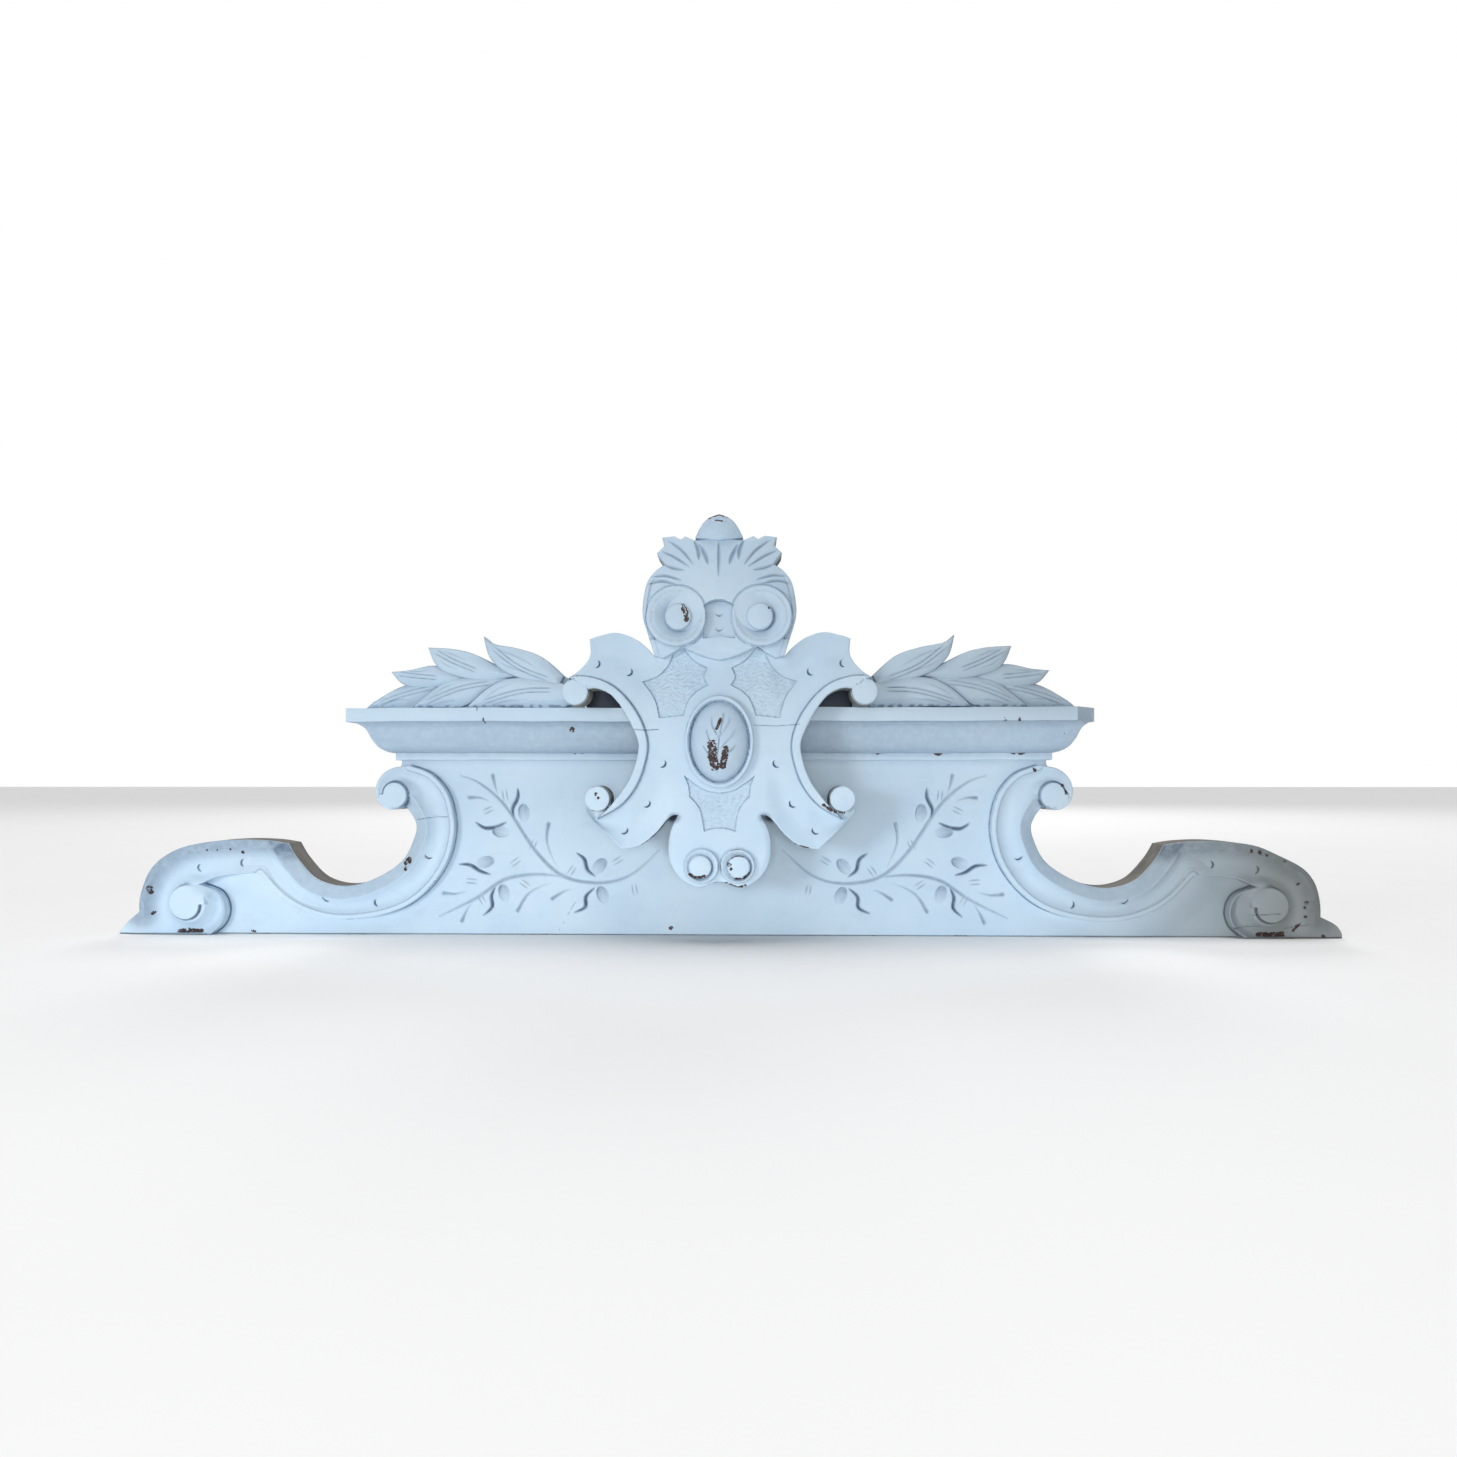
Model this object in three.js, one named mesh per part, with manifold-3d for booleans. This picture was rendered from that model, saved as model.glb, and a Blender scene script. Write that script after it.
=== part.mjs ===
// Door pediment: a carved crest in painted wood that is fixed flat to the wall over a door.
// Millimetres, +Z up, front toward -Y. The back face is y = 0 and the origin is the fixing point on it.
// "Depth" below always means how far a surface stands out from that back face.
import * as THREE from 'three';
import { mergeVertices } from 'three/addons/utils/BufferGeometryUtils.js';
import Module from 'manifold-3d';

const wasm = await Module();
wasm.setup();

// Overall sizes
const TIP = 798; // centre line to the tip of a wing
const FIXING_HEIGHT = 200; // bottom edge to the origin
const GAP = 0.3; // air left between pieces that touch

// Depths of the flat board and of the scrolls carved on it
const BOARD = 40;
const BAY_EDGE = 44;
const SCROLL = 54;
const SCROLL_EYE = 61;
const COVE = { radius: 23, sink: 8 };
const VINE_CUT = 3.5;

// Cornice: heights of its mouldings and how far the cap stands out
const NECK = 422; // half the width of the board under the cornice
const CORNICE_FOOT = 229;
const FILLET_TOP = 238;
const CAP_FOOT = 277;
const CAP_TOP = 292;
const PROJECTION = 54;
const CLIPPED_CORNER = 30; // the right end of the cap has lost its front corner

// Cartouche: depths of its layers
const PLATE_BACK = BOARD + PROJECTION + 2;
const PLATE_FRONT = 130;
const BAND = 137;
const CREST = 143;
const BIG_VOLUTE = 157;
const SUNK_GROUND = 3;
const OVAL = { x: 40, z: 54, rim: 6.5, height: 249, front: 146 };
const TONGUE = { half: 178, top: 330 }; // part of the board that rises behind the cartouche

// Leaf sprays standing on the cap
const SPRAY = { back: 46, stem: 60, leaf: 72 };
const SPRAY_SHIFT = { left: 8, right: 0 };

// Outlines of the right half, x from the centre line and z from the bottom edge
const TOE = {
  left: [[TIP, 0], [786, 15], [771, 27]],
  right: [[TIP, 0], [TIP - 1, 7], [789, 17], [769, 27]],
};
const HUMP = [[769, 27], [767, 52], [753, 86], [724, 109], [686, 120], [640, 124], [600, 123], [573, 119]];
const BAY = [[573, 119], [560, 98], [534, 72], [497, 63], [457, 73], [421, 96], [405, 125], [402, 146], [414, 168]];
const UPPER_EYE = { x: 424, z: 184, r: 18, top: 36, bottom: 19 };
const LOWER_EYE = { x: 700, z: 40, r: 24 };
const SCROLL_OUTER = [[408, 222], [380, 211], [359, 187], [350, 156], [350, 128], [360, 94], [384, 60],
  [417, 36], [462, 23], [510, 21], [550, 32], [580, 51], [606, 79]];
const FIELD_TOP = [[606, 79], [632, 79], [655, 74], [682, 67]];
const LOWER_RING = [[682, 67], [661, 53], [648, 35], [652, 18], [669, 0]];
const COVE_LINE = [[416, 206], [392, 200], [375, 180], [369, 155], [370, 131], [380, 100], [400, 71], [431, 49],
  [471, 38], [511, 36], [546, 44], [574, 62], [597, 88], [640, 102], [692, 97], [722, 78], [738, 50], [730, 16]];

const CREST_EDGE = [[0, 524], [14, 518], [22, 507], [30, 493], [41, 499], [47, 494], [55, 500], [70, 499],
  [67, 487], [76, 478], [66, 463], [78, 455], [88, 441], [93, 417], [93, 400], [88, 383], [79, 354]];
const EAR = [[79, 354], [90, 366], [107, 378], [128, 384], [148, 380], [160, 376]];
const EAR_SIDE = [[160, 376], [160, 357], [171, 341], [187, 330]];
const EAR_VOLUTE = { x: 176, z: 310, r: 15.5 };
const C_EDGE = [[162, 314], [148, 315], [133, 303], [119, 286], [106, 264], [100, 246], [103, 222], [112, 200],
  [124, 183], [134, 171]];
const C_LINE = [[186, 330], [162, 330], [135, 321], [113, 302], [96, 276], [88, 249], [91, 224], [102, 195],
  [122, 171], [150, 155]];
const FOOT_VOLUTE = { x: 150, z: 180, r: 16 };
const LOWER_EAR = [[165, 164], [149, 146], [121, 118]];
const LOWER_EAR_FOOT = [[121, 118], [99, 122], [80, 136], [64, 155], [56, 160]];
const LOBE = [[51, 160], [60, 141], [63, 122], [61, 103], [52, 86], [38, 75], [25, 71], [9, 76], [0, 78]];
const UPPER_PANEL = [[46, 366], [56, 346], [70, 333], [92, 326], [80, 303], [71, 280], [48, 280], [38, 301],
  [14, 318], [16, 332], [13, 346], [32, 356]];
const LOWER_PANEL = [[38, 202], [37, 188], [40, 176], [26, 164], [20, 140], [0, 144]];

// Vine cut into the field: stem, side shoot, twigs, and leaves as a curved stroke beside a scooped oval
const STEM = [[80, 112], [118, 79], [160, 68], [208, 77], [245, 111], [284, 169], [318, 199], [344, 209]];
const SHOOT = [[205, 76], [245, 79], [285, 72], [322, 48], [372, 23]];
const TWIGS = [[[227, 146], [229, 120], [215, 86]], [[301, 209], [294, 183]], [[332, 180], [304, 177]],
  [[268, 31], [252, 55], [222, 69]], [[342, 17], [329, 42]], [[366, 54], [334, 55]], [[222, 47], [196, 60]]];
const LEAVES = [
  { stroke: [[268, 192], [264, 174], [274, 153]], scoop: [259, 159], turn: 1.4 },
  { stroke: [[323, 147], [304, 140], [284, 147]], scoop: [290, 138], turn: 0.3 },
  { stroke: [[345, 92], [325, 90], [305, 79]], scoop: [309, 94], turn: 2.8 },
  { stroke: [[313, 25], [300, 40], [299, 61]], scoop: [286, 54], turn: 1.8 },
  { stroke: [[190, 107], [180, 90], [166, 77]], scoop: [160, 89], turn: 2.3 },
  { stroke: [[193, 29], [177, 38], [168, 61]], scoop: [157, 51], turn: 1.9 },
];

// Leaves of a spray: the two edges from the base to the tip, and the depth of the front
const SPRAY_BODY = [[170, 293], [452, 293], [436, 308], [404, 325], [340, 336], [262, 338], [195, 337], [170, 322]];
const SPRAY_LEAVES = [
  { over: [[193, 337], [222, 361], [253, 372], [283, 378], [297, 388]],
    under: [[297, 388], [290, 362], [272, 341], [245, 331], [193, 322]], front: 78 },
  { over: [[285, 352], [312, 366], [338, 372], [370, 374]],
    under: [[370, 374], [361, 352], [344, 339], [300, 332]], front: 75 },
  { over: [[345, 345], [366, 351], [396, 345], [419, 343]],
    under: [[419, 343], [404, 327], [380, 322], [350, 324]], front: 73 },
  { over: [[390, 301], [362, 320], [336, 333]], under: [[336, 333], [300, 325], [320, 301], [390, 301]], front: 76 },
  { over: [[318, 300], [294, 322], [264, 334]], under: [[264, 334], [230, 322], [240, 299], [318, 300]], front: 79 },
];
const VEINS = [[[205, 331], [250, 348], [288, 374]], [[310, 346], [340, 356], [362, 369]], [[360, 335], [408, 340]],
  [[330, 316], [376, 303]], [[245, 318], [306, 303]], [[380, 318], [438, 299]]];

const PAINT = { color: 0xc4d8e8, roughness: 0.55, metalness: 0 };

// Helpers

const vectors = (points) => points.map(([x, z]) => new THREE.Vector2(x, z));

// A smooth run through a few points, as [x, z] pairs.
const curve = (points, steps) => new THREE.SplineCurve(vectors(points)).getPoints(steps).map((p) => [p.x, p.y]);

// Points on an arc, angles in degrees from +X toward +Z.
function arc({ x, z, r }, from, to, steps) {
  return Array.from({ length: steps + 1 }, (_, i) => {
    const angle = THREE.MathUtils.degToRad(from + ((to - from) * i) / steps);
    return [x + r * Math.cos(angle), z + r * Math.sin(angle)];
  });
}

const flip = (points, side) => points.map(([x, z]) => [side * x, z]);

const bothHalves = (half) => [...half, ...flip(half, -1).reverse().filter(([x]) => Math.abs(x) > 0.01)];

// A closed geometry as a solid, turned inside out if its faces point in.
function solid(geometry) {
  const plain = geometry.clone();
  plain.deleteAttribute('normal');
  plain.deleteAttribute('uv');
  const merged = mergeVertices(plain, 1e-4);
  const at = merged.attributes.position;
  const triangles = Uint32Array.from(merged.index.array);
  const [a, b, c] = [new THREE.Vector3(), new THREE.Vector3(), new THREE.Vector3()];
  let volume = 0;
  for (let i = 0; i < triangles.length; i += 3) {
    a.fromBufferAttribute(at, triangles[i]);
    b.fromBufferAttribute(at, triangles[i + 1]);
    c.fromBufferAttribute(at, triangles[i + 2]);
    volume += a.dot(b.cross(c));
  }
  if (volume < 0) {
    for (let i = 0; i < triangles.length; i += 3) {
      [triangles[i], triangles[i + 1]] = [triangles[i + 1], triangles[i]];
    }
  }
  const vertProperties = Float32Array.from(at.array);
  return new wasm.Manifold(new wasm.Mesh({ numProp: 3, vertProperties, triVerts: triangles }));
}

// Stands a drawing made in x and y upright, so that its thickness runs toward the front.
const upright = (geometry) => geometry.rotateX(Math.PI / 2);

// An outline raised from one depth to another.
function raised(points, back, front) {
  const options = { depth: front - back, bevelEnabled: false };
  const geometry = new THREE.ExtrudeGeometry(new THREE.Shape(vectors(points)), options);
  return solid(upright(geometry.translate(0, 0, back)));
}

// A section swept along a drawn line; section x points to the back, section y to the line's left.
function swept(points, depth, section, steps) {
  const line = new THREE.CatmullRomCurve3(points.map(([x, z]) => new THREE.Vector3(x, z, depth)));
  const shape = new THREE.Shape(vectors(section));
  return solid(upright(new THREE.ExtrudeGeometry(shape, { steps, bevelEnabled: false, extrudePath: line })));
}

// A groove of triangular section cut into a surface at this depth.
function groove(points, depth, cut, width, steps) {
  return swept(points, depth, [[cut, 0], [-0.5, width / 2], [-0.5, -width / 2]], steps);
}

// A round button standing on end, with a small chamfer.
function button({ x, z, r }, back, front, sides = 14) {
  const chamfer = Math.min(2, r / 6);
  const profile = [[0, back], [r, back], [r, front - chamfer], [r - chamfer, front], [0, front]];
  const turned = new THREE.LatheGeometry(vectors(profile), sides);
  return solid(turned.rotateX(Math.PI).translate(x, 0, z));
}

// A ball drawn out to three half sizes.
function ball(x, z, depth, halfX, halfZ, halfDepth, turn = 0, sides = 10, rings = 6) {
  const geometry = new THREE.SphereGeometry(1, sides, rings).scale(halfX, halfDepth, halfZ);
  return solid(geometry.rotateY(turn).translate(x, -depth, z));
}

function box(x0, x1, back, front, z0, z1) {
  const geometry = new THREE.BoxGeometry(x1 - x0, front - back, z1 - z0);
  return solid(geometry.translate((x0 + x1) / 2, -(front + back) / 2, (z0 + z1) / 2));
}

const joined = (solids) => solids.reduce((sum, next) => sum.add(next));
const cut = (body, cutters) => cutters.reduce((rest, next) => rest.subtract(next), body);

function mesh(name, body) {
  const { numProp, vertProperties, triVerts } = body.getMesh();
  const position = new Float32Array((vertProperties.length / numProp) * 3);
  for (let i = 0; i < position.length / 3; i++) {
    position.set(vertProperties.subarray(i * numProp, i * numProp + 3), i * 3);
  }
  const geometry = new THREE.BufferGeometry();
  geometry.setAttribute('position', new THREE.BufferAttribute(position, 3));
  geometry.setIndex(new THREE.BufferAttribute(Uint32Array.from(triVerts), 1));
  geometry.computeVertexNormals();
  const part = new THREE.Mesh(geometry, new THREE.MeshStandardMaterial(PAINT));
  part.name = name;
  return part;
}

// Board with its two scrolled wings and the vine

// From the tip of a wing, over the hump and round the bay, to the neck under the cornice.
function wingEdge(toe) {
  const { x, z, top, bottom } = UPPER_EYE;
  const volute = Array.from({ length: 13 }, (_, i) => {
    const angle = Math.PI * (i / 12 - 0.5);
    const r = bottom + ((top - bottom) * i) / 12;
    return [x + r * Math.cos(angle), z + r * Math.sin(angle)];
  });
  return [...curve(toe, 5), ...curve(HUMP, 14).slice(1), ...curve(BAY, 18).slice(1), ...volute];
}

function scroll(side, toe) {
  const inner = [...curve(SCROLL_OUTER, 22), ...curve(FIELD_TOP, 4).slice(1), ...curve(LOWER_RING, 8).slice(1)];
  const layer = raised(flip([...wingEdge(toe), ...inner], side), BOARD - 1, SCROLL);
  const tube = arc({ x: 0, z: 0, r: COVE.radius }, 0, 324, 9);
  const cove = swept(flip(COVE_LINE, side), SCROLL + COVE.radius - COVE.sink, tube, 26);
  const slope = SCROLL - BAY_EDGE;
  const chamfer = [[slope, -side * 0.5], [-1, -side * 18], [-1, side * 2], [slope, side * 2]];
  const bayCut = swept(flip([[585, 134], ...BAY], side), SCROLL, chamfer, 24);
  const spiral = Array.from({ length: 15 }, (_, i) => {
    const angle = THREE.MathUtils.degToRad(110 - 22 * i);
    const r = LOWER_EYE.r + 3 + (14 - i) * 0.4;
    return [LOWER_EYE.x + r * Math.cos(angle), LOWER_EYE.z + r * Math.sin(angle)];
  });
  const spiralCut = groove(flip(spiral.filter(([, z]) => z > 8), side), SCROLL, 9, 10, 14);
  const eyes = [button({ ...UPPER_EYE, x: side * UPPER_EYE.x }, BOARD, SCROLL_EYE),
    button({ ...LOWER_EYE, x: side * LOWER_EYE.x }, BOARD, SCROLL_EYE - 2)];
  return joined([cut(layer, [cove, bayCut, spiralCut]), ...eyes]);
}

function vine(side) {
  const strokes = LEAVES.map(({ stroke }) => groove(flip(stroke, side), BOARD, VINE_CUT, 6, 4));
  const scoops = LEAVES.map(({ scoop: [x, z], turn }) => ball(side * x, z, BOARD + 3, 12, 7, 6, -side * turn, 7, 5));
  const twigs = TWIGS.map((twig) => groove(flip(twig, side), BOARD, VINE_CUT, 5, 3));
  const stems = [groove(flip(STEM, side), BOARD, VINE_CUT, 6, 13), groove(flip(SHOOT, side), BOARD, VINE_CUT, 6, 9)];
  return [...stems, ...twigs, ...strokes, ...scoops];
}

function mainBoard() {
  const top = [[NECK, CORNICE_FOOT - 4], [NECK, CAP_TOP], [TONGUE.half, CAP_TOP], [TONGUE.half, TONGUE.top - 10],
    [TONGUE.half - 12, TONGUE.top]];
  const right = [...wingEdge(TOE.right), ...top];
  const left = flip([...wingEdge(TOE.left), ...top], -1).reverse();
  const board = raised([...right, ...left], 0, BOARD);
  return cut(joined([board, scroll(1, TOE.right), scroll(-1, TOE.left)]), [...vine(1), ...vine(-1)]);
}

// Cornice: one moulding across the front, mitred to a short return at each end

function corniceProfile() {
  const shape = new THREE.Shape();
  shape.moveTo(GAP, CORNICE_FOOT);
  shape.lineTo(6, CORNICE_FOOT);
  shape.lineTo(6, FILLET_TOP);
  shape.quadraticCurveTo(23, FILLET_TOP + 2, 30, CAP_FOOT - 20);
  shape.quadraticCurveTo(37, CAP_FOOT - 4, PROJECTION - 8, CAP_FOOT);
  shape.lineTo(PROJECTION, CAP_FOOT);
  shape.lineTo(PROJECTION, CAP_TOP);
  shape.lineTo(GAP, CAP_TOP);
  return shape;
}

// A length of the moulding along z; an end marked as mitred runs on by as much as the profile stands out.
function moulding(length, startMitred, endMitred) {
  const options = { depth: length, bevelEnabled: false, curveSegments: 7 };
  const geometry = new THREE.ExtrudeGeometry(corniceProfile(), options);
  const at = geometry.attributes.position;
  for (let i = 0; i < at.count; i++) {
    const atEnd = at.getZ(i) > length / 2;
    if (atEnd && endMitred) at.setZ(i, length + at.getX(i));
    if (!atEnd && startMitred) at.setZ(i, -at.getX(i));
  }
  return geometry;
}

const placed = (geometry, x, y, z) => geometry.applyMatrix4(new THREE.Matrix4().makeBasis(x, y, z));

function corniceFront() {
  const length = 2 * (NECK - GAP);
  const run = moulding(length, true, true).translate(0, 0, -length / 2);
  const [front, up, across] = [new THREE.Vector3(0, -1, 0), new THREE.Vector3(0, 0, 1), new THREE.Vector3(-1, 0, 0)];
  return solid(placed(run, front, up, across).translate(0, -BOARD, 0));
}

function corniceReturn(side) {
  const length = BOARD - GAP;
  const run = side > 0 ? moulding(length, false, true) : moulding(length, true, false).translate(0, 0, -length);
  const outward = new THREE.Vector3(side, 0, 0);
  const along = new THREE.Vector3(0, -side, 0);
  return solid(placed(run, outward, new THREE.Vector3(0, 0, 1), along).translate(side * NECK, 0, 0));
}

// What is missing at the front right corner of the cap.
function lostCorner() {
  const [x, y] = [NECK + PROJECTION, BOARD + PROJECTION];
  const corner = [[x + 5, -y - 5], [x + 5, -y + CLIPPED_CORNER], [x, -y + CLIPPED_CORNER],
    [x - CLIPPED_CORNER, -y], [x - CLIPPED_CORNER, -y - 5]];
  const options = { depth: CAP_TOP - CAP_FOOT + 10, bevelEnabled: false };
  return solid(new THREE.ExtrudeGeometry(new THREE.Shape(vectors(corner)), options).translate(0, 0, CAP_FOOT + 0.01));
}

// Leaf spray: overlapping leaves on a low body that stands on the cap

function leafSpray(side, shift) {
  const move = (points) => flip(points.map(([x, z]) => [x + shift, z]), side);
  const body = raised(move(curve(SPRAY_BODY.slice(1), 16).concat([SPRAY_BODY[0]])), SPRAY.back, SPRAY.leaf);
  const leaves = SPRAY_LEAVES.map(({ over, under, front }) => {
    const edge = [...curve(over, 7), ...curve(under, 7).slice(1)];
    return raised(move(edge), SPRAY.back + 8, front);
  });
  const veins = VEINS.map((vein) => groove(move(vein), SPRAY.leaf + 8, 12, 8, 4));
  const base = box(-900, 900, 0, 200, CAP_TOP - 50, CAP_TOP + GAP);
  return cut(joined([body, ...leaves]), [...veins, base]);
}

// Cartouche: one carving with crest leaf, volutes, pierced C scrolls and the oval boss

function cartoucheEdge() {
  const { x, z, r } = EAR_VOLUTE;
  const { x: footX, z: footZ, r: footR } = FOOT_VOLUTE;
  return [...CREST_EDGE.slice(0, -6), ...curve(CREST_EDGE.slice(-6), 9), ...curve(EAR, 7).slice(1),
    ...curve(EAR_SIDE, 5).slice(1), ...arc({ x, z, r }, 35, -195, 10), ...curve(C_EDGE, 13),
    ...arc({ x: footX, z: footZ, r: footR }, 185, -25, 10), ...curve(LOWER_EAR, 4),
    ...curve(LOWER_EAR_FOOT, 6).slice(1), ...curve(LOBE, 11)];
}

function scrollBand(side) {
  const edge = [...curve(C_LINE, 12), ...curve(C_EDGE, 13).reverse()];
  const volutes = [EAR_VOLUTE, FOOT_VOLUTE].map((eye) => button({ ...eye, x: side * eye.x }, PLATE_BACK, BAND + 4));
  return joined([raised(flip(edge, side), PLATE_FRONT - 4, BAND), ...volutes]);
}

// A big volute of the crest with the spiral line round its eye.
function bigVolute(side) {
  const centre = { x: side * 46, z: 400, r: 32 };
  const spiral = Array.from({ length: 19 }, (_, i) => {
    const angle = THREE.MathUtils.degToRad(-30 + 24 * i);
    const r = 24 - i * 0.5;
    return [side * (48 + r * Math.cos(angle)), 399 + r * Math.sin(angle)];
  });
  const eye = button({ x: side * 50, z: 399, r: 14 }, PLATE_FRONT, BIG_VOLUTE + 4);
  const disc = button(centre, PLATE_FRONT - 4, BIG_VOLUTE, 20);
  return cut(disc, [groove(spiral, BIG_VOLUTE, 6, 7, 11)]).add(eye);
}

function crest() {
  const half = [...CREST_EDGE.slice(0, -1), [84, 372], [60, 366], [30, 358], [0, 354]];
  const leaf = raised(bothHalves(half), PLATE_FRONT - 4, CREST);
  const knob = ball(0, 502, CREST - 4, 26, 21, 14, 0, 12, 6);
  const lens = ball(0, 368, CREST, 26, 9, 9, 0, 12, 5);
  const veins = [[[0, 488], [0, 448]]];
  for (const side of [1, -1]) {
    veins.push(...[[[62, 492], [34, 466]], [[68, 480], [38, 462]], [[80, 448], [46, 452]], [[22, 486], [12, 466]]]
      .map((vein) => flip(vein, side)));
  }
  const veinCuts = veins.map((vein) => groove(vein, CREST, 5, 5, 3));
  const saddle = raised([[-16, 378], [16, 378], [17, 410], [9, 418], [-9, 418], [-17, 410]], CREST - 5, CREST + 20);
  return joined([cut(leaf, [...veinCuts, saddle]), knob, lens, bigVolute(1), bigVolute(-1)]);
}

function ovalBoss() {
  const { x, z, rim, height, front } = OVAL;
  const dish = front - 14;
  const profile = [[0, PLATE_BACK + 10], [x, PLATE_BACK + 10], [x, front - 3], [x - rim / 2, front],
    [x - rim, front - 3], [x - rim - 2, dish], [0, dish]];
  const ring = new THREE.LatheGeometry(vectors(profile), 28).rotateX(Math.PI);
  const egg = ball(0, height, dish, x - rim - 5, z - rim - 6, 17, 0, 18, 10);
  return joined([solid(ring.scale(1, 1, z / x).translate(0, 0, height)), egg]);
}

function cartouche() {
  const plate = raised(bothHalves(cartoucheEdge()), PLATE_BACK, PLATE_FRONT);
  const panels = [...[1, -1].map((side) => flip(curve(UPPER_PANEL, 18), side)), bothHalves(LOWER_PANEL)]
    .map((edge) => raised(edge, PLATE_FRONT - SUNK_GROUND, PLATE_FRONT + 20));
  const footVolutes = [1, -1].flatMap((side) => [button({ x: side * 24, z: 99, r: 15.5 }, PLATE_BACK, PLATE_FRONT + 6),
    button({ x: side * 26, z: 100, r: 9 }, PLATE_BACK, PLATE_FRONT + 10)]);
  const lowerBlock = box(-50, 50, BOARD + GAP, PLATE_BACK + 2, 95, CORNICE_FOOT - GAP);
  const upperBlock = box(-70, 70, BOARD + GAP, PLATE_BACK + 2, CAP_TOP + GAP, TONGUE.top);
  return joined([cut(plate, panels), scrollBand(1), scrollBand(-1), crest(), ovalBoss(), ...footVolutes,
    lowerBlock, upperBlock]);
}

const pediment = new THREE.Group();
pediment.position.z = -FIXING_HEIGHT;
const corner = lostCorner();
pediment.add(
  mesh('main_board', mainBoard()),
  mesh('cornice_front', cut(corniceFront(), [corner])),
  mesh('cornice_return_left', corniceReturn(-1)),
  mesh('cornice_return_right', cut(corniceReturn(1), [corner])),
  mesh('leaf_spray_left', leafSpray(-1, SPRAY_SHIFT.left)),
  mesh('leaf_spray_right', leafSpray(1, SPRAY_SHIFT.right)),
  mesh('cartouche', cartouche()),
);

export default pediment;
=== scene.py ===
"""Carved door pediment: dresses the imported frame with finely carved, chipped, pale blue painted wood."""

import math

import bmesh
import bpy
import numpy as np
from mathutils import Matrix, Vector


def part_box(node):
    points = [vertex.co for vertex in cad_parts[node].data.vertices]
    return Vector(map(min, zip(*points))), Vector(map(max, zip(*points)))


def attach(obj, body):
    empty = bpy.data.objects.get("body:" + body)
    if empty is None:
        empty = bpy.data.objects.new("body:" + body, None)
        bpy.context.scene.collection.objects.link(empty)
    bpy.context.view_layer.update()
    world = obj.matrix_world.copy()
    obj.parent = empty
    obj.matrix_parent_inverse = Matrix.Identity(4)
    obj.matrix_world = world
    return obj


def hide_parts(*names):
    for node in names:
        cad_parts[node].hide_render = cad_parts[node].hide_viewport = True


bl_info = {
    "name": "Carved door pediment",
    "version": (1, 0, 0),
    "blender": (4, 5, 0),
    "location": "View3D > Sidebar > Pediment",
    "description": "Models the carving and the worn paint of a door pediment on its packed frame",
    "category": "Object",
}

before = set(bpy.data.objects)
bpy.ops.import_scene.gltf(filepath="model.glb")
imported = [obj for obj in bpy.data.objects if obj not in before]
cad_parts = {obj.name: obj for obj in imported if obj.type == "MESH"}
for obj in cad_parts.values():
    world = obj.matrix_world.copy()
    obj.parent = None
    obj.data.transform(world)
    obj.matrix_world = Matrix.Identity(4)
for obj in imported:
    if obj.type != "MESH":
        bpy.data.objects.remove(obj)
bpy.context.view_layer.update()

# The pieces are drawn in millimetres: x from the centre line, z from the bottom edge, and depth
# out of the back face toward the front. MM and BASE_Z carry them into the frame.
MM = 0.001
BASE_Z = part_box("main_board")[0].z
CAP_LOW, CAP_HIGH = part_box("cornice_front")

# Depths of the board's front, of the edge of its bays, of its scrolls and of its toes
BOARD, BAY_EDGE, SCROLL, TOE_FRONT = 40, 44, 54, 49
# The neck that the cornice runs round, and the heights of the cornice and of the tongue above it
NECK, CAP_THICKNESS, CAP_WEAR = 422, 15, 2.5
CORNICE_FOOT = round((CAP_LOW.z - BASE_Z) / MM)
CAP_TOP = round((CAP_HIGH.z - BASE_Z) / MM)
CAP_FOOT = CAP_TOP - CAP_THICKNESS
WORN_CAP = CAP_TOP + CAP_WEAR
PROJECTION = round(-CAP_LOW.y / MM) - BOARD
TONGUE_HALF, TONGUE_TOP = 178, round((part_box("main_board")[1].z - BASE_Z) / MM)
# The cartouche: depth of the blocks behind it, and fronts of its plate and of its C bands
BLOCK_DEPTH, PLATE, BAND = 56, 130, 137
PLATE_BACK = round(-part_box("cartouche")[1].y / MM) + BLOCK_DEPTH
# Its crest: fronts and heights of the brow, of the saddle under the brow's arch and of the chin
BROW, BROW_LINE = 163, 440
SADDLE, SADDLE_FOOT = 147, 374
ARCH_HALF, ARCH_TOP = 19, 419
CHIN = 142
# Air between pieces that touch
GAP = 0.3

# Outlines of the right half of the board; the toes and the humps differ from side to side
TOE = {
    -1: [(798, 0), (786, 15), (771, 27)],
    1: [(798, 0), (797, 7), (789, 17), (769, 27)],
}
HUMP = {
    -1: [(769, 27), (767, 52), (753, 86), (724, 109), (686, 120), (640, 124), (600, 123), (573, 119)],
    1: [(769, 27), (768, 48), (761, 72), (746, 90), (716, 106), (684, 119), (640, 124), (600, 123),
        (573, 119)],
}
BAY = [
    (573, 119), (560, 98), (534, 72), (497, 63), (457, 73), (421, 96), (405, 125), (402, 146), (414, 168),
]
UPPER_EYE = (424, 184, 18)
UPPER_DISC = (427.5, 184.5, 18.5)
LOWER_EYE = (702, 40, 25)
# Spiral eyes: circle, angle where the spiral starts, its sweep, its inner radius and its front
SPIRALS = [(LOWER_EYE, 180, 265, 17, 57), (UPPER_DISC, 0, 235, 13.5, 58)]
# Widths of the slope at the bay, of the fillet by the field and of the rim of the hump
SLOPE, FILLET, RIM = 17.0, 6.5, 9
SCROLL_OUTER = [
    (408, 222), (380, 211), (359, 187), (350, 156), (350, 128), (360, 94), (384, 60), (417, 36), (462, 23),
    (510, 21), (550, 32), (580, 51), (606, 79),
]
FIELD_TOP = [(606, 80), (626, 80), (661, 76), (685, 66)]
LOWER_RING = [(685, 66), (664, 58), (655, 48), (651, 36), (652, 24), (658, 12), (672, 0)]

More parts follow.
